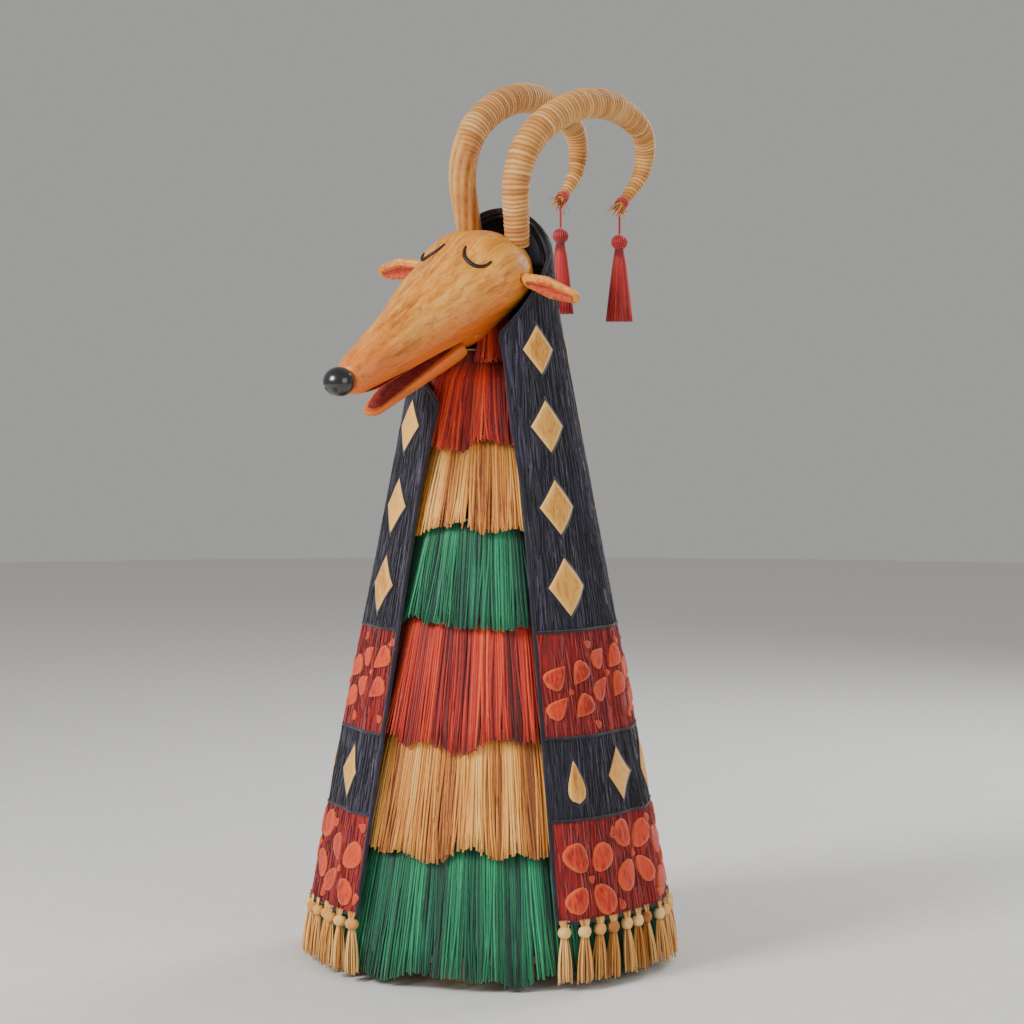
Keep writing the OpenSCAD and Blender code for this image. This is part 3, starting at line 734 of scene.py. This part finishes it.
def make_cloak():
    upper = cloak_cloth("cloak_upper_cloth", BAND_3_UP, CLOAK_TOP, DARK_CLOTH, "dark_wool", 180, 110,
                        ["cloak_dark_panel", "hood"])
    across_joint(upper)
    bands = (("cloak_red_band_upper", BAND_2_UP, BAND_3_UP, CLARET_CLOTH, "red_wool", "straw_sheaf_middle"),
             ("cloak_dark_band", BAND_1_UP, BAND_2_UP, DARK_CLOTH, "dark_wool", "straw_sheaf_lower"),
             ("cloak_red_band_lower", HEM_UP, BAND_1_UP, CLARET_CLOTH, "red_wool", "straw_sheaf_lower"))
    for node, low, high, finish, slot, under in bands:
        cloak_cloth(node + "_cloth", low, high, finish, slot, 200, 22, [node], "figure")
    across_joint(nap("cloak_upper_locks", BAND_3_UP, CLOAK_TOP - 0.02, 3600, DARK_NAP, "dark_wool", None))
    nap("dark_band_locks", BAND_1_UP, BAND_2_UP, 1100, DARK_NAP, "dark_wool", "figure", 0.04)
    nap("red_band_upper_locks", BAND_2_UP, BAND_3_UP, 1300, CLARET_NAP, "red_wool", "figure", 0.045)
    nap("red_band_lower_locks", HEM_UP, BAND_1_UP, 1400, CLARET_NAP, "red_wool", "figure", 0.045)

    def ring_at(h):
        left, right = edges(h)
        return lambda v: (right + (2 * math.pi + left - right) * v, h)

    for name, h in (("seam_piping_high", BAND_3_UP), ("seam_piping_middle", BAND_2_UP),
                    ("seam_piping_low", BAND_1_UP), ("hem_piping", HEM_UP + 0.001)):
        cloak_tube(name, ring_at(h), SEAM_R, DARK_CLOTH, "dark_wool", "figure", 180, 0.0008)

    def rim(v):
        """Up the viewer's right edge, over the crown and down the left edge."""
        run = CLOAK_TOP - HEM_UP
        h = HEM_UP + run * (2 * v if v < 0.5 else 2 - 2 * v)
        left, right = edges(min(h, CLOAK_TOP))
        return (right if v < 0.5 else 2 * math.pi + left, h)

    across_joint(cloak_tube("cloak_edge_binding", rim, BINDING_R, DARK_CLOTH, "dark_wool", None, 420, -0.001))


def make_patches():
    """Cream diamonds and one drop, each on a dark backing that shows as its outline."""
    rows = ((0.960, 0.058, 0.076), (0.842, 0.062, 0.080), (0.718, 0.066, 0.084), (0.597, 0.070, 0.088))
    patches, outlines = [], []

    def add(theta, h, spin, outline, size, border, shade=None):
        wide, tall = size
        tone = draw.random() if shade is None else shade
        patches.append((theta, h, spin, outline(wide, tall), PATCH_RISE, tone))
        outlines.append((theta, h, spin, outline(wide + border[0], tall + border[1]), BACKING_RISE, 0.1))

    for place in (51, 115, 180, 245, 309):
        for h, wide, tall in rows:
            theta = math.radians(place)
            left, right = edges(h)
            if right + 0.1 < theta < 2 * math.pi + left - 0.1:
                add(theta, h, 0, rhombus, (wide, tall), (0.009, 0.014))
    across_joint(patch_piece("cloak_diamonds", patches, CREAM_FELT, "cream_patch"))
    backing = patch_piece("cloak_diamond_backings", outlines, DARK_CLOTH, "dark_wool")
    across_joint(backing)
    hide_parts("diamond_patches")

    patches, outlines = [], []
    for k in range(11):
        add(math.radians(68 + 24 * k), 0.309, 0, rhombus, (0.060, 0.080), (0.010, 0.014))
    add(math.radians(44), 0.306, 0.08, drop_outline, (0.036, 0.064), (0.010, 0.013), 0.4)
    patch_piece("band_diamonds", patches, CREAM_FELT, "cream_patch", "figure", "band_diamond_patches")
    patch_piece("band_diamond_backings", outlines, DARK_CLOTH, "dark_wool", "figure")


def make_leaves(name, node, low, high, pointed):
    """Petals in fours round a dot, with berries between the sprigs; the pointed petals are drops."""
    middle, reach = (low + high) / 2, (high - low) / 2 - 0.006
    left, right = edges(middle)
    r = cone_r(middle)
    first, last = right + 0.03, 2 * math.pi + left - 0.03
    scale = 0.92 if pointed else 1.08
    pitch = 0.094 * scale
    count = int((last - first) * r / pitch)
    away = 0.036 * scale
    patches = []

    def add(theta, h, spin, outline, height=0.0044):
        patches.append((theta, h, spin, outline, height, draw.random()))

    for k in range(count):
        theta = first + (k + 0.5) * (last - first) / count
        shift = (0.012 if k % 2 else -0.012) * scale
        for quarter in range(4):
            spin = math.radians(42 + 90 * quarter + draw.uniform(-9, 9))
            long, wide = 0.046 * scale * draw.uniform(0.88, 1.1), 0.027 * scale * draw.uniform(0.9, 1.15)
            h = middle + shift + away * math.sin(spin)
            if abs(h - middle) > reach - long * 0.35:
                h = middle + math.copysign(reach - long * 0.35, h - middle)
            if pointed:
                add(theta + away * math.cos(spin) / r, h, spin + math.radians(90 + 90 * (quarter % 2)),
                    drop_outline(wide * 1.35, long * 0.95))
            else:
                add(theta + away * math.cos(spin) / r, h, spin, leaf_outline(wide, long))
        add(theta, middle + shift, draw.uniform(0, 3), drop_outline(0.012 * scale, 0.012 * scale), 0.004)
        for side in (-1, 1):
            h = middle + side * reach * draw.uniform(0.72, 0.86)
            add(theta + (pitch / 2 + draw.uniform(-0.006, 0.006)) / r, h, draw.uniform(0, 3),
                drop_outline(0.014 * scale, 0.018 * scale), 0.004)
    patch_piece(name, patches, LEAF_FELT, "leaf_patch", "figure", node)


def make_hem_tassels():
    """Cream yarn looped through the hem, knotted and left to hang."""
    segments, lines, knots = 5, [], []
    steps = np.linspace(0, 1, segments + 1)
    left, right = edges(HEM_UP)

    def add(points, cross, wide, thick):
        lines.append((points, [cross] * (segments + 1), [wide] * (segments + 1), thick, draw.random()))

    for k in range(HEM_TASSELS):
        theta = right + 0.03 + (2 * math.pi + left - right - 0.06) * k / (HEM_TASSELS - 1)
        theta += draw.normal(0, 0.004)
        radial = Vector((math.sin(theta), -math.cos(theta), 0))
        cross = Vector((math.cos(theta), math.sin(theta), 0))
        hem = cloak_point(theta, HEM_UP) - radial * 0.001
        knot_at = hem + Vector((0, 0, -0.013)) + radial * 0.003
        knots.append((knot_at, radial, cross, draw.random()))
        for j in range(7):
            offset = (j - 3) * 0.0021
            start = hem + cross * offset * 1.3 + Vector((0, 0, 0.006)) + radial * 0.0025
            add([start.lerp(knot_at + cross * offset * 0.5, t) + radial * 0.0016 * math.sin(math.pi * t)
                 for t in steps], cross, 0.0013, 0.0011)
        sway = draw.normal(0, 0.004)
        for j in range(17):
            angle = 2 * math.pi * (j + draw.random()) / 17
            wide = 0.0118 * math.sqrt(draw.uniform(0.25, 1))
            foot = (cross * (math.cos(angle) * wide * 1.15 + sway)
                    + radial * (math.sin(angle) * wide * 0.8 + 0.006)
                    + Vector((0, 0, -0.066 - draw.uniform(0, 0.007))))
            out = cross * math.cos(angle) + radial * math.sin(angle)
            waist = (cross * math.cos(angle) + radial * math.sin(angle) * 0.8) * 0.0038
            add([knot_at + Vector((0, 0, -0.004)) + waist * (1 - t) + foot * t
                 + out * 0.0022 * math.sin(math.pi * t) for t in steps], cross, 0.0014, 0.0012)
    strands("hem_tassel_yarn", lines, CREAM_YARN, "cream_yarn", "figure", segments, "hem_tassels")

    bm = bmesh.new()
    tone, along = value_layers(bm, "tone", "along")

    def ball(segments_round, rings, shade, place):
        made = bmesh.ops.create_uvsphere(bm, u_segments=segments_round, v_segments=rings, radius=1)["verts"]
        for vert in made:
            vert[tone], vert[along] = shade, 1
            vert.co = place(*vert.co)

    for middle, radial, cross, shade in knots:
        def knot(x, y, z):
            twist = 1 + 0.09 * math.sin(9 * z * 2 + 2 * math.atan2(y, x))
            return (middle + cross * x * 0.0112 * twist + radial * y * 0.0094 * twist
                    + Vector((0, 0, z * 0.0094)))

        ball(14, 9, shade, knot)
        # Painted shade: the collars under each knot take half its tone.
        for drop in (0.0078, 0.0098):
            ball(12, 6, shade * 0.5, lambda x, y, z: (middle + cross * x * 0.0056 + radial * y * 0.005
                                                      + Vector((0, 0, z * 0.0013 - drop))))
    keep("hem_tassel_knots", bm, CREAM_YARN, "cream_yarn", "figure")


# ---- fringe ----

def tier_line(k):
    """Radius and height of a tier's strands at its tied top, its knee and its hem."""
    low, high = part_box(TIERS[k])
    top, bottom = high.z, low.z
    head_r = NECK_R if k == 0 else cone_r(top) - CLOTH_T - CORE_INSET
    hem_r = cone_r(bottom) - CLOTH_T - TIER_INSET - (0.002 if k == 0 else 0)
    knee = (0.101, 0.915) if k == 0 else (head_r + 0.011, top - 0.014)
    return (head_r + 0.003, top), knee, (hem_r - 0.003, bottom)


def make_tier(k):
    name = TIERS[k]
    (r0, z0), (r1, z1), (r2, z2) = tier_line(k)
    whole_ring = k == len(TIERS) - 1
    half_arc = math.pi if whole_ring else math.radians(74)
    segments = 5 if whole_ring else 7
    rise = -0.006 if whole_ring else 0.010
    slope, knee_run, width = math.hypot(r2 - r1, z1 - z2), 0.02, 0.0021
    count = int(2 * half_arc * r2 / (width * (1.3 if k == 0 else 1.6)))
    phase = k * 1.7
    lines = []
    for layer in range(3):
        for j in range(count):
            theta = -half_arc + 2 * half_arc * (j + 0.33 * layer + 0.4 * draw.random()) / count
            if not whole_ring and layer == 2 and abs(theta) > math.radians(52):
                continue
            sweep = theta * r2 / LOCK_ARC + phase + 1.5 * math.sin(theta * 6 + k)
            lock = math.sin(sweep)
            wave = (0.0065 * math.sin(theta * r2 / 0.034 + phase)
                    + 0.0050 * math.sin(theta * r2 / 0.017 + 2 * phase) + 0.004 * lock)
            end = z2 + rise + wave + abs(draw.normal(0, 0.0022)) + (2 - layer) * 0.002
            pull = -0.0022 * math.cos(sweep)
            lift = (layer - 2) * 0.0018 + 0.0015 * lock + draw.normal(0, 0.0004)
            drift, bow = draw.normal(0, 0.0035), draw.normal(0, 0.0012)
            centre, side = [], []
            for t in np.linspace(0, 1, segments + 1):
                along = t * (slope + knee_run)
                if along < knee_run:
                    s = along / knee_run
                    r, z = r0 + (r1 - r0) * s, z0 + (z1 - z0) * s
                else:
                    s = (along - knee_run) / slope
                    r, z = r1 + (r2 - r1) * s, z1 + (end - z1) * s
                r += lift * min(1, 3 * t)
                angle = theta + (pull * t * t + drift * t * t + bow * math.sin(5 * t + j)) / r2
                centre.append((r * math.sin(angle), -r * math.cos(angle), z))
                side.append((math.cos(angle), math.sin(angle), 0))
            half = width * draw.uniform(0.75, 1.2)
            taper = [half * (1 - 0.35 * t ** 3) for t in np.linspace(0, 1, segments + 1)]
            # Painted light: locks that stand out and the outer layer are lighter, the inner layers darker in
            # painted shade; the rest of the tone is random.
            shade = clamped(0.5 + 0.22 * lock + 0.10 * (layer - 1) + draw.normal(0, 0.17))
            lines.append((centre, side, taper, 0.0009, shade))
    colour = name.split("_")[0]
    strands(name + "_strands", lines, STRAND[colour], colour + "_fringe", "figure", segments, name)


def make_throat():
    """Red strands under the head that hide the swivel and lie over the top tier's tied heads."""
    line = ((0.036, 1.010), (0.060, 0.988), (0.072, 0.968), (0.086, 0.940))
    ahead, lines, segments = math.radians(-HEAD_YAW), [], len(line) - 1
    for layer in range(2):
        for k in range(300):
            theta = 2 * math.pi * (k + 0.5 * layer + 0.5 * draw.random()) / 300
            if abs(math.remainder(theta - ahead, 2 * math.pi)) < math.radians(20):
                continue
            centre, side, drift = [], [], draw.normal(0, 0.02)
            for j, (r, z) in enumerate(line):
                angle = theta + drift * j / segments
                reach = r + 0.0015 * layer
                end = abs(draw.normal(0, 0.004)) if j == segments else 0
                centre.append((reach * math.sin(angle), -reach * math.cos(angle), z + end))
                side.append((math.cos(angle), math.sin(angle), 0))
            shade = clamped(0.5 + 0.25 * math.sin(theta * 9) + draw.normal(0, 0.2))
            lines.append((centre, side, [0.0012] * len(line), 0.0008, shade))
    strands("throat_strands", lines, STRAND["red"], "red_fringe", "head", segments)


# ---- head ----

def head_place(forward, left, up):
    return HEAD_FRAME @ Vector((forward, left, up))


TO_HEAD = HEAD_FRAME.inverted()
TURN_TO_WORLD = HEAD_FRAME.to_3x3()


def carve_head(vert):
    """Brow, eye hollows, cheekbones, the bridge of the muzzle and chisel marks along the grain."""
    p = TO_HEAD @ vert.co
    normal = TURN_TO_WORLD.inverted() @ vert.normal
    side = abs(p.y)

    def near(f, l, u, size):
        return math.exp(-((p.x - f) ** 2 + (side - l) ** 2 + (p.z - u) ** 2) / (size * size))

    rise = 0.0
    if normal.z > -0.3:
        rise += 0.0045 * near(0.000, 0.034, 0.064, 0.026)
        rise -= 0.0040 * near(0.055, 0.050, 0.040, 0.026)
        rise += 0.0050 * near(0.090, 0.062, -0.022, 0.034)
        rise -= 0.0035 * near(0.185, 0.045, -0.002, 0.045)
        rise += 0.0035 * near(0.292, 0.020, -0.020, 0.026)
        rise += 0.0020 * near(0.200, 0.000, 0.022, 0.040)
    grain = (noise.noise(Vector((p.x * 9, p.y * 75, p.z * 75))) * 0.7
             + noise.noise(Vector((p.x * 14, p.y * 190, p.z * 190))) * 0.35)
    share = 1.0 if p.x < 0.315 else 0.2
    return vert.normal * (rise + 0.0011 * grain * share)


def carve_jaw(vert):
    p = TO_HEAD @ vert.co
    grain = noise.noise(Vector((p.x * 9, p.y * 75, p.z * 75)))
    return vert.normal * 0.0008 * grain


def ease_ear(vert):
    return vert.normal * 0.0006 * noise.noise(vert.co * 120)


def make_nose():
    """A turned and lacquered nose with two nostrils and the cleft between them."""
    def shape(u, v):
        lift, swing = math.pi * (v - 0.5), 2 * math.pi * u
        x, y, z = math.cos(lift) * math.cos(swing), math.cos(lift) * math.sin(swing), math.sin(lift)
        reach = 1.0
        for side in (-1, 1):
            hole = (x - 0.83) ** 2 + (y - side * 0.42) ** 2 * 1.3 + (z + 0.10) ** 2 * 3
            reach -= 0.20 * math.exp(-hole / 0.045)
        reach -= 0.05 * math.exp(-(y / 0.10) ** 2) * smooth(x, 0.2, 0.9) * smooth(-z, -0.5, 0.3)
        reach += 0.02 * math.sin(3 * lift) * (1 - abs(z))
        return head_place(NOSE_FORWARD + x * NOSE_R * reach, y * NOSE_R * 1.03 * reach,
                          NOSE_UP + z * NOSE_R * 0.97 * reach)

    bm = warp(64, 44, shape, closed=True)
    face_out(bm)
    keep("nose_tip", bm, LACQUER, "nose_lacquer", "head", "nose")


def surface_finder(piece):
    bm = bmesh.new()
    bm.from_mesh(piece.data)
    tree = BVHTree.FromBMesh(bm)
    bm.free()
    return tree


def make_eyelids(skin):
    """Two closed lids: a tapering black strip that sags like a bowl on each side of the brow."""
    tree = surface_finder(skin)
    down = TURN_TO_WORLD @ Vector((0, 0, -1))
    lids = bmesh.new()

    def lid_r(u, v):
        return 0.0034 * (0.30 + 0.70 * math.sin(math.pi * (0.06 + 0.88 * v)) ** 0.8)

    for side in (-1, 1):
        points = []
        for k in range(25):
            angle = math.radians(-82 + 164 * k / 24)
            forward = 0.024 + 0.0265 * math.cos(angle)
            left = side * 0.043 + 0.0225 * math.sin(angle)
            hit, normal, _, _ = tree.ray_cast(head_place(forward, left, 0.15), down)
            points.append(hit + normal * 0.0007)
        bm = tube(line_path(points, -down), lid_r, 10, 60)
        lids.from_mesh(as_mesh("lid", bm))
    keep("eyelid_strips", lids, EYELID, "eyelid_paint", "head", "eyelids")


def make_linings():
    """Soft leather inside the mouth, with a low fold down the middle of the jaw."""
    hinge = next(j for j in frame["joints"] if j["name"] == "jaw_snap")
    opening = Matrix.Rotation(-math.radians(JAW_TRAVEL), 4, Vector(hinge["axis"]))
    pin = Matrix.Translation(Vector(hinge["pos_m"]))
    swing = pin @ opening @ pin.inverted()

    def pad(name, node, body, front, half_back, half_front, level, facing, place):
        def shape(u, v):
            f = MOUTH_BACK + (front - MOUTH_BACK) * v
            rounding = math.sqrt(max(0.02, 1 - max(0, (v - 0.82) / 0.19) ** 2))
            half = (half_back + (half_front - half_back) * v) * rounding
            across = 2 * u - 1
            puff = 0.0016 * (1 - across ** 4) * math.sin(math.pi * min(1, 0.08 + v)) ** 0.5
            ripple = 0.0003 * noise.noise(Vector((f * 120, across * 4, 1)))
            crease = 0.0010 * math.exp(-(across / 0.16) ** 2) + ripple
            return place @ Vector((f, across * half, level + facing * (puff - crease)))

        bm = warp(28, 60, shape)
        face_out(bm)
        bmesh.ops.solidify(bm, geom=bm.faces[:], thickness=0.0012)
        face_out(bm)
        keep(name, bm, MAROON, "mouth_lining", body, node)

    pad("palate_pad", "palate_lining", "head", 0.306, 0.040, 0.021, MOUTH_UP + 0.001, -1, HEAD_FRAME)
    pad("jaw_pad", "jaw_lining", "jaw", 0.291, 0.036, 0.0135, MOUTH_UP - 0.0032, 1, swing @ HEAD_FRAME)


def make_head():
    skin = softened("head_carving", "head", 0.0024, 9, CARVED, "carved_wood", "head", carve_head)
    softened("jaw_carving", "jaw", 0.0018, 7, CARVED, "carved_wood", "jaw", carve_jaw)
    for end in ("left", "right"):
        softened("ear_%s_carving" % end, "ear_" + end, 0.0014, 6, CARVED, "carved_wood", "head", ease_ear)
        softened("ear_lining_%s_suede" % end, "ear_lining_" + end, 0.001, 4, SUEDE, "ear_lining", "head",
                 ease_ear)
    make_nose()
    make_eyelids(skin)
    make_linings()


# ---- horns ----

def horn_path():
    """The horn's own curve: length, and a function of the distance along it to (back, up, heading)."""
    lean = math.radians(SHAFT_LEAN)
    heading, back, up = -SHAFT_LEAN, -SHAFT_LENGTH * math.sin(lean), SHAFT_LENGTH * math.cos(lean)
    pieces, start = [], SHAFT_LENGTH
    for radius, swing in HORN_ARCS:
        h0, h1 = math.radians(heading), math.radians(heading + swing)
        pieces.append((start, radius, h0, back, up))
        back += radius * (math.cos(h0) - math.cos(h1))
        up += radius * (math.sin(h1) - math.sin(h0))
        start += radius * (h1 - h0)
        heading += swing

    def at(s):
        if s <= SHAFT_LENGTH:
            return -s * math.sin(lean), s * math.cos(lean), -lean
        began, radius, h0, b, u = next(p for p in reversed(pieces) if s >= p[0])
        h = h0 + (s - began) / radius
        return b + radius * (math.cos(h0) - math.cos(h)), u + radius * (math.sin(h) - math.sin(h0)), h
    return start, at


HORN_LENGTH, horn_at = horn_path()


def straw_r(s):
    t = s / HORN_LENGTH
    if t < 0.45:
        return 0.0195 + 0.0050 * math.sin(t / 0.45 * math.pi / 2)
    return 0.0245 - 0.0175 * ((t - 0.45) / 0.55) ** 2.2


def horn_frames(side):
    place = horn_frame(side)

    def path(s):
        back, up, h = horn_at(s)
        centre = place @ Vector((-back, 0, up))
        one = (place.to_3x3() @ Vector((-math.cos(h), 0, -math.sin(h)))).normalized()
        two = (place.to_3x3() @ Vector((0, 1, 0))).normalized()
        return centre, one, two
    return path


def make_horn(side, end):
    """Wound straw; the goat's right horn starts with a twist of straws laid lengthwise."""
    path = horn_frames(side)
    rows = int(HORN_LENGTH / WINDING_PITCH * 7)
    values = {}

    def wall(u, v):
        s = v * HORN_LENGTH
        around = 2 * math.pi * u
        wobble = 0.16 * noise.noise(Vector((s * 60, math.cos(around), math.sin(around) + 5 * side)))
        phase = side * u + s / WINDING_PITCH + wobble
        along_strand = math.floor(phase) - side * u
        ridge = abs(math.sin(math.pi * phase)) ** 0.55
        own = noise.noise(Vector((along_strand * 1.3 + 11 * side, 3.1, 0.5)))
        depth = 0.0022 * (0.6 + 0.5 * abs(own))
        if side < 0:
            lay = 9 * u + s / 0.105
            length_ridge = abs(math.sin(math.pi * lay)) ** 0.5
            share = 1 - smooth(s + 0.02 * math.sin(around), 0.135, 0.175)
            fibre = noise.noise(Vector((math.floor(lay) % 9 * 1.9, 7.7, 0.3)))
            ridge = ridge * (1 - share) + length_ridge * share
            own = own * (1 - share) + fibre * share
            depth = depth * (1 - share) + 0.0034 * share
        values[(round(u, 4) % 1, round(v, 5))] = (0.5 + 0.5 * own, 1 - ridge)
        return straw_r(s) + 0.0006 * own - depth * (1 - ridge)

    bm = tube(lambda v: path(v * HORN_LENGTH), wall, 40, rows)
    tone, groove = value_layers(bm, "tone", "groove")
    uv = bm.loops.layers.uv.active
    for face in bm.faces:
        for loop in face.loops:
            u, v = loop[uv].uv
            shade, dip = values.get((round(u, 4) % 1, round(v, 5)), (0.5, 0.3))
            loop.vert[tone], loop.vert[groove] = shade, dip ** 0.8
    keep("horn_winding_" + end, bm, WINDING, "horn_straw", "head", "horn_straw_" + end)

    centre, one, two = path(HORN_LENGTH)
    ahead = one.cross(two)
    if ahead.dot(path(HORN_LENGTH)[0] - path(HORN_LENGTH - 0.01)[0]) < 0:
        ahead = -ahead
    lines, segments = [], 5
    steps = np.linspace(0, 1, segments + 1)
    for _ in range(64):
        angle, flare = draw.uniform(0, 2 * math.pi), abs(draw.normal(0, 0.22))
        out = one * math.cos(angle) + two * math.sin(angle)
        long = draw.uniform(0.010, 0.027)
        start = centre - ahead * 0.012 + out * 0.0058
        points = [start + ahead * long * t + out * (flare * long * t * t * 1.4)
                  + Vector((0, 0, -0.004 * t * t)) for t in steps]
        across = ahead.cross(out).normalized()
        taper = [0.0011 * (1 - 0.6 * t) for t in steps]
        lines.append((points, [across] * (segments + 1), taper, 0.0004, draw.random()))
    strands("horn_tip_wisps_" + end, lines, STRAND["straw"], "horn_straw", "head", segments)

    wraps = 6

    def tie(v):
        angle = 2 * math.pi * wraps * v
        middle, a, b = path(HORN_LENGTH - 0.0115 + 0.0115 * v * 0.8)
        out = a * math.cos(angle) + b * math.sin(angle)
        place = middle + out * 0.0094
        side_way = b * math.cos(angle) - a * math.sin(angle)
        return place, out, out.cross(side_way).normalized()

    bm = tube(tie, lambda u, v: TIE_R, 8, wraps * 22)
    thread = keep("horn_tip_thread_" + end, bm, CRIMSON_YARN, "crimson_yarn", "head", "horn_tie_" + end).data
    set_values(thread, "tone", [0.6] * len(thread.vertices))
    set_values(thread, "along", [1] * len(thread.vertices))


# ---- tassels ----

TASSEL_CORD_D = 0.0035


def make_tassel(end):
    low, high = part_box("tassel_cord_" + end)
    middle = (low + high) / 2
    top = Vector((middle.x, middle.y, high.z))
    length = high.z - low.z
    curve = bpy.data.curves.new("tassel_string_" + end, "CURVE")
    curve.dimensions, curve.bevel_depth, curve.bevel_resolution = "3D", TASSEL_CORD_D / 2, 4
    curve.use_fill_caps = True
    line = curve.splines.new("POLY")
    line.points.add(16)
    for k, point in enumerate(line.points):
        point.co = (top.x, top.y, top.z - length * k / 16, 1)
    curve.materials.append(CRIMSON_CORD.material)
    string = in_scene("tassel_string_" + end, curve)
    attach(string, "tassel_cord_" + end)
    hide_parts("tassel_cord_" + end)

    body = "tassel_" + end
    low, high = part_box("tassel_knob_" + end)
    middle, r = (low + high) / 2, (high.z - low.z) / 2

    def knob(u, v):
        lift, swing = math.pi * (v - 0.5), 2 * math.pi * u
        rib = 1 + 0.045 * math.sin(22 * swing + 2.2 * lift) * math.cos(lift)
        wide = r * math.cos(lift) * rib
        return middle + Vector((wide * math.cos(swing), wide * math.sin(swing), r * math.sin(lift)))

    bm = warp(132, 26, knob, closed=True)
    face_out(bm)
    tone, along = value_layers(bm, "tone", "along")
    # Painted shade: each point's tone follows the ribs, darker in the grooves between them.
    for vert in bm.verts:
        out = math.hypot(vert.co.x - middle.x, vert.co.y - middle.y)
        full = r * math.sqrt(max(0, 1 - ((vert.co.z - middle.z) / r) ** 2)) + 1e-5
        vert[tone], vert[along] = 0.5 + 9 * (out / full - 1), 1
    keep("tassel_head_" + end, bm, CRIMSON_YARN, "crimson_yarn", body, "tassel_knob_" + end)

    low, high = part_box("tassel_neck_" + end)
    neck = Vector((middle.x, middle.y, (low.z + high.z) / 2))
    wraps = 5

    def binding(v):
        angle = 2 * math.pi * wraps * v
        out = Vector((math.cos(angle), math.sin(angle), 0))
        place = neck + out * 0.0072 + Vector((0, 0, 0.0035 - 0.007 * v))
        return place, out, Vector((0, 0, 1))

    bm = tube(binding, lambda u, v: 0.00085, 8, wraps * 26)
    tone, along = value_layers(bm, "tone", "along")
    # Painted shade: the binding under the knob gets a darker tone.
    for vert in bm.verts:
        vert[tone], vert[along] = 0.25, 1
    keep("tassel_binding_" + end, bm, CRIMSON_YARN, "crimson_yarn", body, "tassel_neck_" + end)

    low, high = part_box("tassel_skirt_" + end)
    wide, segments, lines = (high.x - low.x) / 2, 7, []
    for layer, count in ((0.35, 26), (0.66, 50), (0.84, 72), (0.97, 96)):
        for k in range(count):
            angle = 2 * math.pi * (k + draw.random() * 0.7) / count
            bottom = low.z + abs(draw.normal(0, 0.0022))
            points = []
            swing = draw.normal(0, 0.06)
            for t in np.linspace(0, 1, segments + 1):
                reach = (0.0072 * layer ** 0.3) * (1 - t) + wide * layer * t ** 0.9 * 0.96
                turned = angle + swing * t * t
                points.append((middle.x + reach * math.cos(turned), middle.y + reach * math.sin(turned),
                               high.z + 0.004 + (bottom - high.z - 0.004) * t))
            side_way = Vector((-math.sin(angle), math.cos(angle), 0))
            # Painted shade: the inner layers of strands are darker than the outer ones.
            shade = clamped(0.3 + 0.35 * layer + draw.normal(0, 0.2))
            lines.append((points, [side_way] * (segments + 1), [0.00095] * (segments + 1), 0.0008, shade))
    strands("tassel_strands_" + end, lines, CRIMSON_YARN, "crimson_yarn", body, segments,
            "tassel_skirt_" + end)


# ---- the CAD pieces that stay ----

def dress_frame():
    """Gives each carried-over piece its finish."""
    finishes = {
        "foot_beam_lower": ASH_BEAM, "foot_beam_upper": BOARD, "base_board": BOARD, "board_screws": STEEL,
        "post": ASH, "neck_washer": WASHER, "jaw_pin": STEEL, "turn_stop_peg": STEEL, "hood_bow": DARK_ASH,
        "horn_rod_left": ASH, "horn_rod_right": ASH,
        "straw_sheaf_lower": SHEAF, "straw_sheaf_middle": SHEAF, "straw_sheaf_upper": SHEAF}
    finishes.update({tier + "_cord": TWINE for tier in TIERS})
    for name, finish in finishes.items():
        mesh = nodes[name].data
        mesh.materials.clear()
        mesh.materials.append(finish.material)


for end in ("left", "right"):
    make_tassel(end)
make_head()
for side, end in ((1, "left"), (-1, "right")):
    make_horn(side, end)
make_cloak()
make_patches()
make_leaves("leaf_sprigs_upper", "leaf_patches_upper", BAND_2_UP, BAND_3_UP, True)
make_leaves("leaf_sprigs_lower", "leaf_patches_lower", HEM_UP, BAND_1_UP, False)
make_hem_tassels()
make_throat()
for tier in range(len(TIERS)):
    make_tier(tier)
dress_frame()
